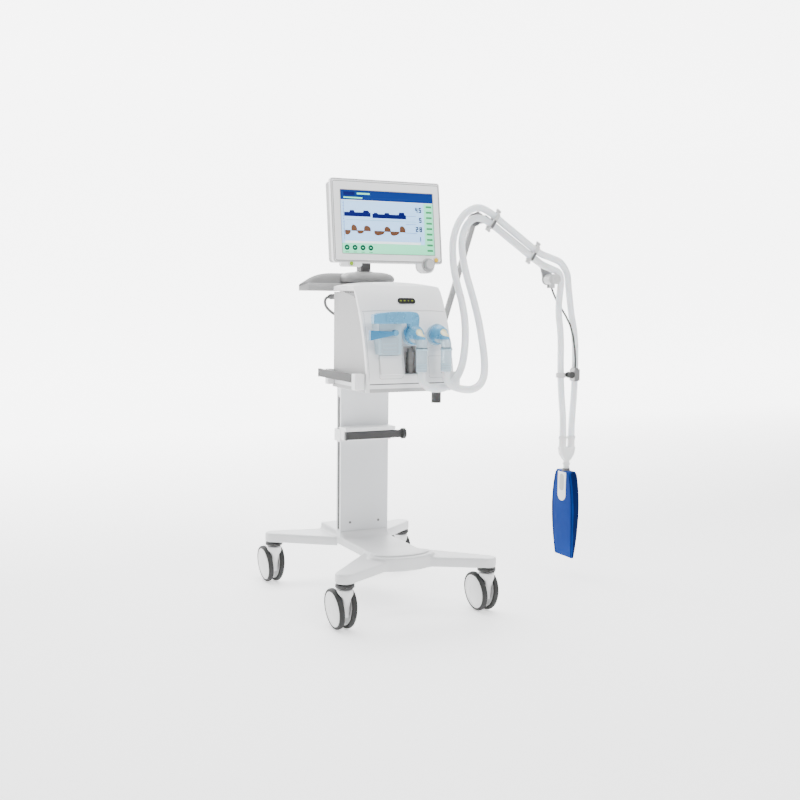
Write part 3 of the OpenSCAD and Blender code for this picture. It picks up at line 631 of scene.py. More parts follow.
# the stem above each fork, in metres: its foot and its radius
NECK_Z, NECK_R = 0.1298, 0.0088
for corner, (sx, sy) in STEMS.items():
    hood_piece = moulded(f"caster_fork_{corner}", f"caster_hood_{corner}", hub_white,
                         voxel=1.6, rounds=7)
    # the smoothing leaves a fillet at the stem's foot, which the brake ring would sink into
    stem = P(sx, sy, 0)
    for v in hood_piece.data.vertices:
        away = math.hypot(v.co.x - stem.x, v.co.y - stem.y)
        if v.co.z > NECK_Z and away > NECK_R:
            v.co.x = stem.x + (v.co.x - stem.x) * NECK_R / away
            v.co.y = stem.y + (v.co.y - stem.y) * NECK_R / away
    bevelled(f"brake_ring_{corner}", f"caster_ring_{corner}", dark_plastic, 1.0, 2)
    for side, tag in ((-1, "a"), (1, "b")):
        j = JOINTS[f"roll_{corner}_{tag}"]
        hub = Vector(j["pos_m"])
        axis = Vector((math.cos(CAMBER), 0, -side * math.sin(CAMBER))) * side
        lo, hi = -8.8, 8.8
        tread = [(lo + 1.2, 53), (lo, 56.5), (lo + 0.8, 59.6), (lo + 3.0, 61.6), (lo + 6.2, 62.35),
                 (hi - 6.2, 62.35),
                 (hi - 3.0, 61.6), (hi - 0.8, 59.6), (hi, 56.5), (hi - 1.0, 53.4)]
        cover = [(hi - 1.4, 52.8), (hi - 0.7, 52.0), (hi - 0.3, 48.0), (hi - 1.3, 46.8), (hi - 1.3, 45.6),
                 (hi - 0.2, 44.4),
                 (hi + 1.0, 36), (hi + 1.9, 26), (hi + 2.2, 17.5), (hi + 1.5, 16.6), (hi + 1.5, 15.4),
                 (hi + 2.2, 14.4),
                 (hi + 2.5, 8), (hi + 2.6, 0)]
        inner = [(lo + 5.5, 0), (lo + 5.5, 16), (lo + 2.0, 17.5), (lo + 2.0, 22), (lo + 5.5, 24),
                 (lo + 5.5, 46),
                 (lo + 1.6, 49), (lo + 1.2, 53)]
        profile = inner + tread[1:] + cover
        mats = [0] * (len(inner) - 1) + [1] * (len(tread) - 1) + [0] * (len(cover) + 1)
        lathe(f"caster_wheel_{corner}_{tag}", profile, hub, axis, [hub_white, tyre_grey],
              f"wheel_{corner}_{tag}",
              (f"wheel_{corner}_{tag}",), n=72, material_of=mats, angle=32, closed=False)

bevelled("column", "column_skin", column_grey, 3.0, 3)
bevelled("clamp_collar", "collar_skin", white_plastic, 4.0, 4)
bevelled("rails", "rail_bars", rail_steel, 1.5, 3)
bevelled("rail_caps", "rail_end_caps", dark_plastic, 1.5, 3)
bevelled("rail_brackets", "rail_feet", white_plastic, 3.0, 3)
bevelled("platform", "platform_tray", white_plastic, 5.0, 4)
bevelled("head_bracket", "rear_bracket", cast_white, 4.0, 3)
bevelled("platform_knob", "lock_knob", dark_plastic, 2.0, 3)

# ---------------------------------------------------------------- base details

def by_place(o, rule):
    """Sets each face's material slot from its centre, given in the trolley's own millimetres."""
    for f in o.data.polygons:
        c = f.center
        f.material_index = rule((c.x - OX) * 1000, (c.y - OY) * 1000, c.z * 1000, f.normal)
    o.data.update()


joint_grey = material("joint_grey", g(84), g(98), 0.5, grain=80, bump=0.15)


def at_front(y):
    return lambda u, v, d: P(u, y - d, v)


def at_side(x, sign):
    return lambda u, v, d: P(x + sign * d, u, v)


# Painted shade: a dark strip down the middle of each side face of the column, standing for the shade on the
# column's sides.
for sign in (-1, 1):
    for lo, hi in ((212, 505), (555, 655)):
        prism(f"column_side_shade_{'l' if sign < 0 else 'r'}_{lo}",
              round_rect(21, hi - lo, 2.5, 108, (lo + hi) / 2),
              at_side(sign * 85.2, sign), 0, 1.2, column_shade_dark, "root", 0.3, 1)
for k, (x, z) in enumerate(((-52, 236), (52, 236))):
    prism(f"column_screw_{k}", disc(4.2, x, z, 24), at_front(91.2), 0, 1.4, screw_metal, "root", bevel=0.5,
          segments=2)
hub_cap = lathe("hub_dish", [(-1.5, 46), (1.0, 45.2), (2.2, 42.5), (2.6, 36), (3.2, 20), (3.4, 0)],
                P(0, -190, 190.0), (0, 0, 1),
                cast_white, "root", n=72, closed=False)
for v in hub_cap.data.vertices:
    v.co.x = OX + (v.co.x - OX) * 2.05

# ---------------------------------------------------------------- push handle

def crescent():
    """The handle's swept wings: a pale upright band in front and a darker roof that climbs to the middle."""
    cols = 120
    vs, fs, mi = [], [], []
    for i in range(cols + 1):
        x = 242.4 * math.sin((-1 + 2 * i / cols) * math.pi / 2)
        d = 250 - abs(x)
        out = -230 + math.sqrt(390 ** 2 - x * x)
        inn = -418 + math.sqrt(520 ** 2 - x * x) if abs(x) < 219.8 else 53.3 + (abs(x) - 219.8) * 0.953
        inn = min(inn, out - 1.5)
        deep = out - inn
        low = 1003.2
        top = 1017 + (45 if x < 0 else 17) * (1 - max(0.0, 1 - d / 160) ** 2.6)
        band = min(25.0, 0.72 * (top - low))
        e = min(3.0, deep * 0.2)
        rise = top - low - band
        section = [
            (inn + e, low), (inn + 0.3 * e, low + 0.9), (inn, low + 3), (inn, low + band * 0.5),
            (inn, low + band - 2.4),
            (inn + 0.35 * e, low + band - 0.6), (inn + e, low + band),
            (inn + 0.16 * deep, low + band + 0.34 * rise),
            (inn + 0.26 * deep, low + band + 0.62 * rise), (inn + 0.38 * deep, low + band + 0.84 * rise),
            (inn + 0.52 * deep, low + band + 0.97 * rise), (inn + 0.66 * deep, top),
            (inn + 0.8 * deep, top - 1.6),
            (out - 0.1 * deep, top - 5), (out - 0.03 * deep, top - 9), (out, low + 0.55 * (top - low)),
            (out, low + 4), (out - 0.3 * e, low + 1.2), (out - e, low),
        ]
        rows = len(section)
        vs += [P(x, y, z) for y, z in section]
    for i in range(cols):
        for k in range(rows):
            a, b = i * rows + k, i * rows + (k + 1) % rows
            fs.append((a, b, b + rows, a + rows))
            mi.append(1 if k < 6 else 0)
    fs.append(tuple(range(rows)))
    fs.append(tuple(range(cols * rows + rows - 1, cols * rows - 1, -1)))
    mi += [1, 1]
    me = bpy.data.meshes.new("crescent")
    me.from_pydata([tuple(v) for v in vs], [], fs)
    for q, m in zip(me.polygons, mi):
        q.material_index = m
    face_out(me)
    o = bpy.data.objects.new("crescent_handle", me)
    SCENE.collection.objects.link(o)
    me.materials.append(handle_grey)
    me.materials.append(handle_light)
    finish_mesh(me, 34)
    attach(o, "root")
    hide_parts("push_handle")


crescent()


def loft(name, levels, mats, body, power=4.0, n=64, replaces=(), angle=45):
    """Rounded-rectangle sections stacked up: each level is (height, centre u, centre v, half u, half v)."""
    vs = []
    for h, cu, cv, hu, hv in levels:
        for k in range(n):
            a = 2 * math.pi * k / n
            c, sn = math.cos(a), math.sin(a)
            u = cu + hu * math.copysign(abs(c) ** (2 / power), c)
            v = cv + hv * math.copysign(abs(sn) ** (2 / power), sn)
            vs.append(P(u, v, h))
    me = bpy.data.meshes.new(name)
    me.from_pydata([tuple(v) for v in vs], [], tube_faces(len(levels), n))
    face_out(me)
    return add(name, me, mats, body, replaces, angle)


dome_grey = material("dome_grey", g(124), g(138), 0.42, grain=60, bump=0.18, fine=1400)
loft("handle_dome", [(1033.4, 0, 90, 84, 50), (1036, 0, 86, 88, 58), (1044, 0, 84, 88, 60),
                     (1052, 0, 85, 85, 57), (1059, 0, 88, 77, 50),
                     (1063.5, 0, 92, 64, 42), (1065.6, 0, 95, 46, 34), (1066.6, 0, 98, 30, 26)],
     dome_grey, "root", power=3.4, n=80)
loft("neck_collar", [(1064, 0, 111, 26, 26), (1067.5, 0, 111, 26, 26), (1068.4, 0, 111, 24.5, 24.5),
                     (1068.7, 0, 111, 19, 19)],
     neck_grey, "root", power=3.4, n=56)

# ---------------------------------------------------------------- unit

bevelled("case_shell", "case_skin", side_grey, 1.5, 3)
bevelled("hood", "hood_skin", white_plastic, 5.0, 4)
bevelled("front_panel", "front_skin", white_plastic, 3.0, 3)
bevelled("display_window", "display_glass", display_black, 0.8, 2)

# the platform's top, and over it the panel's front line as depth against height
PLATFORM_TOP = 727
FRONT = [(-240, 0), (-243, 26), (-236, 64), (-222, 120), (-205, 174), (-186, 216), (-170, 248), (-154, 274)]


def panel_y(z):
    h = z - PLATFORM_TOP
    for (y0, h0), (y1, h1) in zip(FRONT, FRONT[1:]):
        if h0 <= h <= h1:
            return y0 + (y1 - y0) * (h - h0) / (h1 - h0)
    return FRONT[-1][0]


def on_panel(u, v, d):
    """A point on the raked front: across, height, and distance out of it."""
    return P(u, panel_y(v) - d, v)


def ribbon(name, line, width, out, mats, closed=False, low=-0.4):
    """A thin strip that follows a line of (x, z) points over the raked front."""
    pts = [Vector((u, v, 0)) for u, v in line]
    dense = []
    n = len(pts)
    for i in range(n if closed else n - 1):
        a, b = pts[i], pts[(i + 1) % n]
        k = max(1, int((b - a).length / 6))
        dense += [a.lerp(b, t / k) for t in range(k)]
    if not closed:
        dense.append(pts[-1])
    m = len(dense)
    vs, fs = [], []
    for i, q in enumerate(dense):
        prev = dense[i - 1] if (closed or i) else dense[i]
        nxt = dense[(i + 1) % m] if (closed or i < m - 1) else dense[i]
        t = (nxt - prev).normalized()
        s_ = Vector((-t.y, t.x, 0)) * width / 2
        for e, d in ((-1, low), (-1, out), (1, out), (1, low)):
            w = q + s_ * e
            vs.append(on_panel(w.x, w.y, d))
    for i in range(m if closed else m - 1):
        a, b = 4 * i, 4 * ((i + 1) % m)
        for k in range(4):
            l = (k + 1) % 4
            fs.append((a + k, a + l, b + l, b + k))
    if not closed:
        fs.append((0, 1, 2, 3))
        e = 4 * (m - 1)
        fs.append((e + 3, e + 2, e + 1, e))
    me = from_lists(vs, fs)
    face_out(me)
    return add(name, me, mats, "root", (), 30)


seam_soft = material("seam_soft", g(128), g(142), 0.6, grain=80, bump=0.12)
ribbon("seam_upper", [(-140, 943), (-100, 946), (-40, 947), (40, 947), (100, 946), (140, 943)], 1.0, 0.25,
       seam_soft)
ribbon("seam_left", [(-141, 735), (-141, 820), (-139, 900), (-136, 940)], 0.8, 0.2, seam_soft)
ribbon("seam_flap", round_rect(79, 68, 7, -67, 775.5), 0.9, 0.25, seam_soft, closed=True)
ribbon("seam_right", round_rect(60, 66, 7, 92, 775), 0.7, 0.2, seam_soft, closed=True)
ribbon("port_slot", [(104, 757), (128, 757)], 2.2, 0.4, seam_dark)
ribbon("pocket_rim", round_rect(56, 91, 4, 4, 797), 1.4, 0.6, handle_light, closed=True)
ribbon("gauge_mark_a", [(86, 959), (86, 963)], 0.6, 0.2, seam_soft)

for sign, tag in ((-1, "l"), (1, "r")):
    prism(f"lip_shadow_{tag}", [(-40, 1004.2), (-146, 1004.2), (-152, 984), (-134, 988)],
          at_side(sign * 144.6, sign), 0, 0.8,
          handle_grey, "root")
    for k in range(4):
        prism(f"lip_vent_{tag}{k}", round_rect(14, 3.0, 1.4, -132 + 19 * k, 1000.5),
              at_side(sign * 145.3, sign), -0.1, 0.6,
              seam_dark, "root", 0.2, 1)
    prism(f"lip_latch_{tag}", round_rect(13, 16, 3, -149, 991), at_side(sign * 144.4, sign), 0, 2.0,
          dark_plastic, "root",
          0.7, 2)

valve = moulded("expiratory_valve", "valve_cover", [blue_clear, dome_highlight_cream, clear_tube],
                voxel=1.6, rounds=4)
outlet = moulded("inspiratory_port", "outlet_dome", [blue_clear, dome_highlight_cream, clear_tube],
                 voxel=1.6, rounds=4)


# Slots of each port: 0 the blue dome, 1 a painted highlight (a cream patch on the right of the dome, round the
# elbow's bend), 2 the clear cuff below.
def port_finish(cx):
    def rule(x, y, z, n):
        if y < -266 and z < 862 and abs(x - cx) < 24:
            return 2
        if y < -250 and math.dist((x, y, z), (cx + 6, -292, 884)) < 19:
            return 1
        return 0
    return rule


by_place(valve, port_finish(4))
by_place(outlet, port_finish(88))
bevelled("valve_body", "valve_block", pale_clear, 5.0, 4)
bevelled("hose_cuffs", "cuff_tubes", clear_tube, 2.0, 3)
for cx, tag in ((4, "a"), (88, "b")):
    lathe(f"cuff_band_{tag}", [(0, 16.6), (0, 18.2), (1.0, 18.8), (4.5, 18.8), (5.5, 18.2), (5.5, 16.6)],
          P(cx, -302, 829), (0, 0, 1),
          pale_clear, "root", n=48)
    lathe(f"cuff_line_{tag}", [(0, 16.6), (0, 17.9), (1.3, 17.9), (1.3, 16.6)], P(cx, -302, 835.6), (0, 0, 1),
          seam_dark, "root",
          n=48)
    for k in range(3):
        lathe(f"cuff_rib_{tag}{k}", [(0, 16.6), (0.6, 17.7), (2.2, 17.7), (2.8, 16.6)],
              P(cx, -302, 772 + 7 * k), (0, 0, 1),
              pale_clear, "root", n=48)
    lathe(f"dome_ring_{tag}", [(0, 25), (0, 33), (1.6, 34), (3.4, 33), (3.4, 25)], P(cx, -234, 874),
          (0, -1, 0), pale_clear, "root",
          n=56)
prism("valve_window", round_rect(64, 20, 7, -66, 925), lambda u, v, d: P(u, -264 - d, v), -0.2, 1.6,
      blue_clear, "root",
      0.6, 2)
prism("valve_label_ridge", round_rect(58, 52, 8, -78, 842), lambda u, v, d: P(u, -252 - d, v), -0.2, 1.4,
      clear_tube, "root",
      0.6, 2)
for k, z in enumerate((824, 836, 848)):
    prism(f"valve_rib_{k}", round_rect(44, 2.2, 1, -78, z), lambda u, v, d: P(u, -253.2 - d, v), -0.2, 0.8,
          pale_clear, "root",
          bevel=0.3, segments=1)
lathe("valve_hub_ring", [(0, 9), (0, 14), (1.2, 15), (3, 15), (4, 14), (4, 9)], P(-18, -252, 881), (0, -1, 0),
      blue_deep, "root",
      n=40)
bevelled("oxygen_sensor", "sensor_barrel", sensor_metal, 1.5, 3)
for k in range(3):
    lathe(f"sensor_band_{k}", [(0, 12), (0.3, 12.7), (2.6, 12.7), (2.9, 12)], P(10, -214, 764 + 18 * k),
          (0, 0, 1), brass_ring, "root",
          n=40)
bevelled("gas_inlets", "gas_sockets", connector_metal, 1.0, 2)
for x in (98, 128):
    for k in range(4):
        lathe(f"gas_thread_{x}_{k}", [(0, 7.6), (1.0, 8.0), (1.6, 8.0), (2.6, 7.6)], P(x, 30 + 4.4 * k, 807),
              (0, 1, 0), connector_metal,
              "root", n=32)
bevelled("valve_lever", "lock_lever", blue_deep, 2.5, 4)
prism("lever_grip", [(-148, 864), (-148, 884), (-118, 881), (-96, 879), (-96, 876), (-118, 871)],
      lambda u, v, d: P(u, -269.4 - d, v), -0.2, 1.2, blue_deep, "lever", 0.5, 2)
lathe("lever_boss", [(-0.4, 8.2), (0.8, 8.0), (1.6, 6.6), (1.9, 3.6), (1.9, 0)], P(-66, -269.5, 881),
      (0, -1, 0), blue_clear, "lever",
      n=40, closed=False)
bevelled("service_flap", "flap_door", white_plastic, 1.2, 3)
for n_, mt in (("blower", dark_plastic), ("battery_pack", dark_plastic)):
    bevelled(n_, n_ + "_block", mt, 1.5, 2)

# the dark joint between the unit and its platform, and the platform's own darker skirt
for tag, lo, hi, out, mt in (("joint", 723.6, 726.8, 0.5, joint_grey),
                             ("skirt", 700.6, 711.5, 0.6, side_grey)):
    prism(f"platform_{tag}_front", bar(-137, lo, 137, hi), at_front(-238.0), -0.3, out, mt, "root",
          0.2, 1)
    for sign, sd in ((-1, "l"), (1, "r")):
        prism(f"platform_{tag}_{sd}", bar(-227, lo, 18, hi), at_side(sign * 148.0, sign), -0.3, out, mt,
              "root", 0.2, 1)

# generic marks in the small window
WINDOW_LEAN = math.atan2(32, 58)


def on_window(u, v, d):
    """A point on the small window: across, up its lean, and out of its glass."""
    out = 2.5 + d
    c, sn = math.cos(WINDOW_LEAN), math.sin(WINDOW_LEAN)
    return P(u, -169.9 - out * c + v * sn, 975 + out * sn + v * c)


for k in range(4):
    prism(f"window_mark_{k}", round_rect(7 if k != 2 else 4, 4.6, 1.2, -3 + 13 * k, 0), on_window,
          -0.1, 0.12, ink_glyph, "root")

# back of the unit: a vent grille, a connector panel and screws
def at_back(y):
    return lambda u, v, d: P(u, y + d, v)


prism("back_plate", round_rect(250, 190, 8, 0, 850), at_back(18), -0.3, 1.4, back_grey, "root",
      0.6, 2)
for k in range(12):
    prism(f"back_vent_{k}", round_rect(66, 3.2, 1.6, -62, 860 + 6.4 * k), at_back(19.2), -0.2, 0.8, seam_dark,
          "root",
          0.3, 1)
prism("mains_inlet", round_rect(34, 24, 3, -92, 790), at_back(19.2), -0.2, 5, dark_plastic, "root",
      0.9, 2)
for k in range(3):
    prism(f"mains_pin_{k}", round_rect(2.4, 7, 0.6, -100 + 8 * k, 790 + (3 if k == 1 else -2)), at_back(24),
          -0.4, 1.4, connector_metal,
          "root")
for k in range(3):
    prism(f"data_socket_{k}", round_rect(18, 12, 2, 24 + 26 * k, 905), at_back(19.2), -0.2, 2.4, dark_plastic,
          "root",
          0.6, 2)
for k, (x, z) in enumerate(((-118, 762), (118, 762), (-118, 938), (118, 938))):
    prism(f"back_screw_{k}", disc(3.6, x, z, 20), at_back(19.2), -0.2, 1.4, screw_metal, "root", bevel=0.4,
          segments=2)

# ---------------------------------------------------------------- monitor

bevelled("monitor_swivel", "neck_post", neck_grey, 3.5, 4)
bevelled("monitor_back", "monitor_shell", back_grey, 6.0, 4)
bevelled("monitor_bezel", "monitor_frame", white_plastic, 2.6, 4)
bevelled("screen", "screen_glass", ink_field, 0.4, 2)
bevelled("menu_knob", "turn_knob", knob_grey, 2.5, 4)
bevelled("alarm_key", "mute_key", key_yellow, 1.5, 3)
bevelled("power_key", "start_key", key_green, 1.2, 3)


def screen_at(u, v, d):
    """A point of the picture: across and up from the screen's middle, and out of the glass."""
    return M(3 + u, 1.5 - d, -4 + v)


def picture(name, outline, ink, out, bevel=0.0):
    return prism(name, outline, screen_at, -0.1, out, ink, "monitor", bevel, 1)


picture("pic_header", bar(-161, 68, 161, 98.6), ink_bar, 0.14)
picture("pic_header_line", bar(-161, 66.6, 161, 68), ink_white, 0.16)
picture("pic_tab_a", bar(-150, 82, -112, 93), ink_navy, 0.18)
picture("pic_tab_b", bar(-104, 86, -60, 91), ink_mint, 0.18)
picture("pic_tab_c", bar(-150, 73, -86, 77), ink_mint, 0.18)
picture("pic_column", bar(128, -98.6, 161, 66.6), ink_mint, 0.14)
picture("pic_footer", bar(-161, -98.6, 128, -66), ink_mint, 0.14)
picture("pic_note", bar(-150, -66, 112, -59), ink_white, 0.15)
picture("pic_scale", bar(-152, -56, -151, 64), ink_navy, 0.15)
for k in range(12):
    picture(f"pic_tick_{k}", bar(-156, -52 + 10 * k, -152, -51.2 + 10 * k), ink_navy, 0.15)
for k in range(9):
    picture(f"pic_cell_{k}", round_rect(21, 6.4, 1.4, 146, 56 - 17.5 * k, 2), ink_green, 0.2)
for k in range(4):
    picture(f"pic_button_{k}", disc(8.6, -145 + 27 * k, -80, 32), ink_button, 0.3)
    picture(f"pic_button_mark_{k}", round_rect(7, 2.2, 1, -145 + 27 * k, -80, 2), ink_mint, 0.36)
    picture(f"pic_button_bar_{k}", bar(-151 + 27 * k, -95, -139 + 27 * k, -93), ink_green, 0.2)


def trace(base, heights, u0, u1):
    """A filled trace: the band between its base line and a stepped, slightly uneven top."""
    n = 150
    top = []
    for i in range(n + 1):
        u = u0 + (u1 - u0) * i / n
        h = base
        for a, b, lift in heights:
            w = min(max((u - a) / 2.2, 0), 1) * min(max((b - u) / 3.0, 0), 1)
            h += lift * w
        top.append((u, h + 0.55 * math.sin(u * 1.7) * math.sin(u * 0.61)))
    return top


def band(name, top, bottom, ink):
    n = len(top)
    vs, fs = [], []
    for d in (-0.1, 0.22):
        vs += [screen_at(u, v, d) for u, v in top] + [screen_at(u, v, d) for u, v in bottom]
    for i in range(n - 1):
        fs.append((2 * n + i, 2 * n + i + 1, 3 * n + i + 1, 3 * n + i))
        fs.append((i, n + i, n + i + 1, i + 1))
        fs.append((i, i + 1, 2 * n + i + 1, 2 * n + i))
        fs.append((n + i, 3 * n + i, 3 * n + i + 1, n + i + 1))
    fs.append((0, 2 * n, 3 * n, n))
    fs.append((n - 1, 2 * n - 1, 4 * n - 1, 3 * n - 1))
    me = from_lists(vs, fs)
    face_out(me)
    return add(name, me, ink, "monitor", (), 30)


def flat(u0, u1, v, n=150):
    return [(u0 + (u1 - u0) * i / n, v) for i in range(n + 1)]


band("trace_pressure_a", trace(30, [(-132, -114, 6.5), (-86, -64, 6.5)], -150, -60), flat(-150, -60, 17),
     ink_navy)
band("trace_pressure_b", trace(27, [(-50, -34, 4), (-12, 6, 5), (38, 60, 8)], -54, 64), flat(-54, 64, 14),
     ink_navy)
FLOW = [(-150, -130, -15), (-128, -108, 21), (-108, -85, -10), (-85, -61, 19), (-50, -14, -14), (-14, 8, 18),
        (6, 38, -13), (39, 60, 22)]
for k, (a, b, h) in enumerate(FLOW):
    lo, hi = (-28, -28 + h) if h > 0 else (-28 + h, -26)
    n = 40
    top, bot = [], []
    for i in range(n + 1):
        u = a + (b - a) * i / n
        e = math.sin(math.pi * min(max(i / n, 0.0), 1.0)) ** 0.28
        if h > 0:
            top.append((u, lo + 0.6 + (hi - lo) * e * (1 - 0.25 * i / n)))
            bot.append((u, lo))
        else:
            top.append((u, hi))
            bot.append((u, hi - 0.6 - (hi - lo) * e * (1 - 0.35 * i / n)))
    band(f"trace_flow_{k}", top, bot, ink_olive)
picture("pic_axis_a", bar(-146, 6, 100, 6.7), ink_green, 0.15)
picture("pic_axis_b", bar(62, 24, 100, 24.8), ink_dark, 0.15)
picture("pic_axis_c", bar(62, -2, 100, -1.2), ink_dark, 0.15)
picture("pic_axis_d", bar(62, -30, 100, -29.2), ink_dark, 0.15)

SEGMENTS = {"2": "abged", "5": "afgcd", "1": "bc", "8": "abcdefg", "4": "fgbc"}


def digit(name, ch, u, v, w, h):
    """A plain seven-bar numeral for the screen."""
    t = w * 0.36
    bars = {
        "a": bar(u, v + h - t, u + w, v + h), "d": bar(u, v, u + w, v + t),
        "g": bar(u, v + h / 2 - t / 2, u + w, v + h / 2 + t / 2),
        "f": bar(u, v + h / 2, u + t, v + h), "e": bar(u, v, u + t, v + h / 2),
        "b": bar(u + w - t, v + h / 2, u + w, v + h),
        "c": bar(u + w - t, v, u + w, v + h / 2),
    }
    for k in SEGMENTS[ch]:
        picture(f"{name}_{k}", bars[k], ink_dark, 0.24)


digit("num_a1", "4", 97, 37, 9, 16)
digit("num_a2", "5", 110, 37, 9, 16)
digit("num_b1", "5", 110, 5, 9, 16)
digit("num_c1", "2", 97, -25, 9, 16)
digit("num_c2", "8", 110, -25, 9, 16)
digit("num_d1", "1", 107, -55, 7, 14)

# thin dark line round the glass, a seam round the bezel, and pads for the keys
def frame_line(name, w, h, r, t, cx, cz, y, out, ink):
    """A thin closed rim: a rounded rectangle's outline of that width, on the monitor's face."""
    outer, inner = round_rect(w, h, r, cx, cz), round_rect(w - 2 * t, h - 2 * t, max(r - t, 0.4), cx, cz)
    n = len(outer)
    vs = [M(u, y, v) for u, v in outer] + [M(u, y, v) for u, v in inner]
    vs += [M(u, y - out, v) for u, v in outer] + [M(u, y - out, v) for u, v in inner]
    fs = []
    for i in range(n):
        k = (i + 1) % n
        fs += [(2 * n + i, 2 * n + k, 3 * n + k, 3 * n + i), (i, n + i, n + k, k),
               (i, k, 2 * n + k, 2 * n + i),
               (n + i, 3 * n + i, 3 * n + k, n + k)]
    me = from_lists(vs, fs)
    face_out(me)
    return add(name, me, ink, "monitor", (), 30)


frame_line("glass_rim", 325, 200, 2.4, 1.6, 3, -4, 0.3, 0.7, handle_grey)
frame_line("bezel_seam", 369, 247, 6.5, 1.3, 1.5, -1.5, 0.1, 0.25, seam_dark)
frame_line("bezel_border", 379.4, 259.4, 8.0, 4.4, 0, 0, 0.1, 0.2, handle_light)
frame_line("key_pad_rim", 22, 14, 6.8, 1.0, -130, -134, 0.2, 0.6, handle_light)
frame_line("mute_pad_rim", 20, 20, 9.6, 1.0, 168, -118, 0.2, 0.6, handle_light)


LOOK = Vector(JOINTS["menu_knob_turn"]["axis"])
KNOB = (137, -134)
lathe("knob_skirt", [(-0.2, 20.5), (0.0, 22.2), (0.5, 22.4), (0.9, 21.8), (0.9, 18.2), (-0.2, 18.0)],
      M(KNOB[0], 0, KNOB[1]), LOOK, handle_light,
      "monitor", n=56)
lathe("knob_face", [(17.8, 14.4), (18.5, 14.0), (18.6, 11.6), (18.1, 10.4), (18.0, 0)],
      M(KNOB[0], 0, KNOB[1]), LOOK, knob_face, "menu_knob",
      n=56, closed=False)
KNOB_RIBS = 28
vs, fs = [], []
for k in range(KNOB_RIBS):
    a = 2 * math.pi * k / KNOB_RIBS
    b0 = len(vs)
    for d in (3.0, 15.4):
        for da, r in ((-0.045, 16.8), (-0.03, 17.45), (0.03, 17.45), (0.045, 16.8)):
            vs.append(M(KNOB[0] + r * math.cos(a + da), -d, KNOB[1] + r * math.sin(a + da)))
    fs += [(b0, b0 + 1, b0 + 5, b0 + 4), (b0 + 1, b0 + 2, b0 + 6, b0 + 5), (b0 + 2, b0 + 3, b0 + 7, b0 + 6),
           (b0, b0 + 3, b0 + 2, b0 + 1),
           (b0 + 4, b0 + 5, b0 + 6, b0 + 7), (b0 + 3, b0, b0 + 4, b0 + 7)]
ribs = from_lists(vs, fs)
add("knob_ribs", ribs, knob_grey, "menu_knob", (), 30)
for k in range(14):
    prism(f"monitor_vent_{k}", round_rect(3.2, 40, 1.6, -91 + 14 * k, 84), lambda u, v, d: M(u, 46 + d, v),
          -0.2, 0.7, seam_dark, "monitor",
          0.3, 1)
for k, (x, z) in enumerate(((-165, -105), (165, -105), (-165, 105), (165, 105))):
    prism(f"monitor_screw_{k}", disc(3.4, x, z, 20), lambda u, v, d: M(u, 46 + d, v), -0.2, 0.9, screw_metal,
          "monitor", bevel=0.3, segments=1)

# ---------------------------------------------------------------- arm and circuit

bevelled("arm_clamp", "arm_foot_clamp", strap_grey, 2.5, 3)
bevelled("arm_clamp_knob", "arm_foot_knob", dark_plastic, 2.0, 3)
bevelled("arm_post", "lower_bar", arm_metal, 1.5, 3)
bevelled("arm_boom", "boom_bar", arm_metal, 1.5, 3)
bevelled("hose_clips", "boom_clips", joint_light, 1.2, 3)
DROP = math.radians(32.7)
SHOULDER = (188 + 500 * math.sin(math.radians(18)), 768 + 500 * math.cos(math.radians(18)))


def B(x, y, z):
    """A point in the boom's frame: along it, depth from the arm's plane, and up from it."""
    return P(SHOULDER[0] + x * math.cos(DROP) + z * math.sin(DROP), -20 + y,
             SHOULDER[1] - x * math.sin(DROP) + z * math.cos(DROP))


for tag, x in (("a", 46), ("b", 236)):
    # the dark strap on the lower half of each clip, and the small hooks above and below it
    prism(f"clip_strap_{tag}", round_rect(9, 30, 3, x + 6, 16), lambda u, v, d: B(u, -38.6 - d, v), -0.4, 1.2,
          strap_grey, "arm_boom",
          0.5, 2)
    for up, z in ((1, 62.5), (-1, -1.5)):
        a = B(x + 2, -24, z - up * 3)
        lathe(f"clip_stem_{tag}{'u' if up > 0 else 'l'}", [(0, 0), (0, 4.6), (7, 4.2), (7, 0)], a,
              B(x + 2, -24, z + up * 10) - a,
              joint_light, "arm_boom", n=24, closed=False)
        b = B(x - 5, -24, z + up * 5.5)
        lathe(f"clip_hook_{tag}{'u' if up > 0 else 'l'}",
              [(0, 0), (0, 3.6), (1.2, 4.8), (16.8, 4.8), (18, 3.6), (18, 0)], b,
              B(x + 20, -24, z + up * 5.5) - b,
              joint_light, "arm_boom", n=24, closed=False)
rod = bevelled("arm_rod", "level_rod", [rod_grey, joint_light], 1.0, 2)
by_place(rod, lambda x, y, z, n: 1 if math.hypot(x - 642, z - 1051) < 21 else 0)
hub_at = P(SHOULDER[0] + 356 * math.cos(DROP), -70, SHOULDER[1] - 356 * math.sin(DROP))
lathe("hinge_cover", [(-1, 17), (0.4, 17.2), (1.6, 15.6), (1.8, 11.4), (0.4, 10.6), (0.4, 5.8), (2.2, 5.0),
                      (2.6, 0)], hub_at, (0, -1, 0),
      [joint_light], "arm_hanger", n=56, closed=False)
lathe("shoulder_cover", [(-1, 20.5), (0.6, 20.8), (2.0, 18.8), (2.2, 12), (1.0, 11), (1.0, 6), (2.8, 5),
                         (3, 0)],
      P(SHOULDER[0], -25.5, SHOULDER[1]), (0, -1, 0), strap_grey, "arm_post", n=56, closed=False)
clamp = bevelled("hose_clamp", "drop_clamp", [joint_light, dark_plastic, connector_metal],
                 1.2, 3)


def clamp_finish(x, y, z, n):
    if x > 722:
        return 2
    if 697 < x < 722 and y < -52:
        return 1
    return 0 if x < 706 else 2


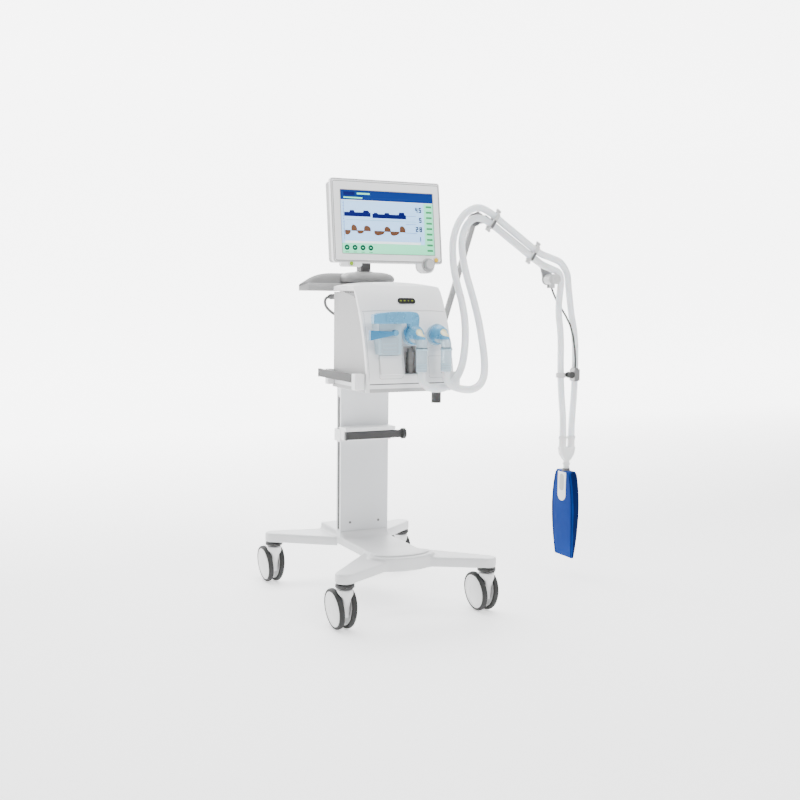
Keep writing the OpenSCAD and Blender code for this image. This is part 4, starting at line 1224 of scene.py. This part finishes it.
by_place(clamp, clamp_finish)
lathe("clamp_screw", [(0, 0), (0, 4.0), (10, 4.0), (10, 10.5), (12, 11.6), (17, 11.6), (18.4, 10.6),
                      (18.4, 0)], P(710, -60, 722), (0, -1, 0),
      dark_plastic, "arm_hanger", n=40, closed=False)
lathe("wye_ring", [(0, 11), (0, 12.6), (1, 13), (5, 13), (6, 12.6), (6, 11)], P(721, -42, 404), (0, 0, 1),
      fitting_white, "arm_hanger",
      n=40)
for k, x in enumerate((703, 739)):
    lathe(f"wye_socket_{k}", [(0, 13), (0, 14.2), (1, 14.8), (9, 14.8), (10, 14.2), (10, 13)], P(x, -42, 495),
          (0, 0, 1), fitting_white,
          "arm_hanger", n=40)


# the middle of the hanging circuit, and the lung's own half width, half thickness, foot and height
HANG_X, HANG_Y = 721, -42
LUNG_W, LUNG_T, LUNG_FOOT, LUNG_H = 67.8, 17.4, 77, 305


def lung():
    """A soft wedge of a bag, wide at two thirds of its height and thin at its foot."""
    levels = [(77.5, 52, 4), (84, 55, 5.0), (100, 57.5, 6.5), (130, 61, 9.5), (170, 65, 12.5),
              (216, 67.3, 14.8), (262, 67.3, 16.0),
              (300, 64, 16.4), (330, 59, 16.5), (356, 52.5, 16.5), (370, 48, 16.4), (378, 45.5, 15.6),
              (382, 42, 13.5)]
    fine = []
    for (h0, a0, b0), (h1, a1, b1) in zip(levels, levels[1:]):
        k = max(1, round((h1 - h0) / 4))
        fine += [(h0 + (h1 - h0) * i / k, a0 + (a1 - a0) * i / k, b0 + (b1 - b0) * i / k) for i in range(k)]
    fine.append(levels[-1])
    n = 96
    vs = []
    for h, a, b in fine:
        soft = 0.8 * math.sin((h - LUNG_FOOT) / LUNG_H * math.pi)
        for k in range(n):
            t = 2 * math.pi * k / n
            c, sn = math.cos(t), math.sin(t)
            v = a * math.copysign(abs(c) ** 0.32, c)
            u = b * math.copysign(abs(sn) ** 0.42, sn)
            crown = 1 - (v / a) ** 2
            u += math.copysign(soft * crown, sn) if abs(sn) > 0.2 else 0
            # the welded seam stands along both narrow edges
            if abs(sn) < 0.2:
                v = math.copysign(abs(v) - 0.6, c)
            u += 0.35 * noise.noise(Vector((v / 22, h / 22, 3.1 if u > 0 else -3.1)))
            u, v_kept = max(-LUNG_T, min(LUNG_T, u)), max(-LUNG_W, min(LUNG_W, v))
            rise = 1.2 * (v / a) ** 2 * (1 if h > 300 else -0.4)
            vs.append(P(HANG_X + u, HANG_Y + v_kept, h + rise))
    me = from_lists(vs, tube_faces(len(fine), n))
    face_out(me)
    o = add("lung_bag", me, [lung_blue, lung_seam], "arm_hanger", ("test_lung",), 50)
    for f in o.data.polygons:
        f.material_index = 1 if abs(f.normal.y) > 0.75 else 0
    # raised seams just inside the edges of both broad faces
    for sign, tag in ((-1, "f"), (1, "b")):
        for e in (-1, 1):
            path = []
            for h, a, b in fine[1:-1:2]:
                out = b * 0.985 + 0.9 * math.sin((h - LUNG_FOOT) / LUNG_H * math.pi) * 0.3
                path.append(Vector((HANG_X + sign * out, HANG_Y + e * a * 0.86, h)))
            r = sweep(f"lung_seam_{tag}{'l' if e < 0 else 'r'}", path, [1.1] * len(path), lung_seam, 8)
            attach(r, "arm_hanger")


lung()
INSERT_W = 24
foot_arc = [math.radians(180 + a) for a in range(12, 180, 12)]
slot_line = [(-INSERT_W, 379), (-INSERT_W, 300)]
slot_line += [(INSERT_W * math.cos(a), 300 + INSERT_W * math.sin(a)) for a in foot_arc]
slot_line += [(INSERT_W, 300), (INSERT_W, 379)]
for sign, tag in ((-1, "f"), (1, "b")):
    prism(f"lung_insert_{tag}", slot_line, lambda u, v, d, s_=sign: P(HANG_X + s_ * (16.2 + d), HANG_Y + u,
        v), 0, 1.4, fitting_white, "arm_hanger",
          0.4, 2)
    prism(f"lung_insert_core_{tag}", round_rect(24, 58, 10, 0, 342),
          lambda u, v, d, s_=sign: P(HANG_X + s_ * (17.4 + d), HANG_Y + u, v), 0, 1.2, back_grey,
          "arm_hanger", 0.4, 2)
lathe("lung_neck", [(0, 0), (0, 14), (18, 14), (20, 12.8), (24, 12.8), (26, 9.6), (30, 9.4), (30, 0)],
      P(HANG_X, HANG_Y, 366), (0, 0, 1),
      strap_grey, "arm_hanger", n=48, closed=False)

# ---------------------------------------------------------------- floor

def floor():
    """A pale studio sweep: floor, a wide curve behind, and a wall that fades into white."""
    line = [(-9, 0)] + [(4.2 + 3.2 * math.sin(math.radians(a)),
                         3.2 - 3.2 * math.cos(math.radians(a))) for a in range(0, 91, 5)] + [(7.4, 9)]
    vs = [(x, y, z) for y, z in line for x in (-14, 14)]
    fs = [(2 * i, 2 * i + 1, 2 * i + 3, 2 * i + 2) for i in range(len(line) - 1)]
    o = bpy.data.objects.new("floor", from_lists(vs, fs))
    SCENE.collection.objects.link(o)
    m = material("floor_pale", g(240), g(243), 0.6, grain=8, bump=0.02, fine=300)
    t = m.node_tree
    b = t.nodes["Principled BSDF"]
    pos = t.nodes.new("ShaderNodeTexCoord")
    split = t.nodes.new("ShaderNodeSeparateXYZ")
    t.links.new(pos.outputs["Object"], split.inputs[0])
    fade = t.nodes.new("ShaderNodeMapRange")
    fade.inputs["From Min"].default_value, fade.inputs["From Max"].default_value = 0.6, 5.5
    fade.inputs["To Min"].default_value, fade.inputs["To Max"].default_value = 0.95, 5.0
    t.links.new(split.outputs["Y"], fade.inputs["Value"])
    t.links.new(fade.outputs["Result"], b.inputs["Emission Strength"])
    b.inputs["Emission Color"].default_value = (1, 1, 1, 1)
    o.data.materials.append(m)
    finish_mesh(o.data, 60)


floor()
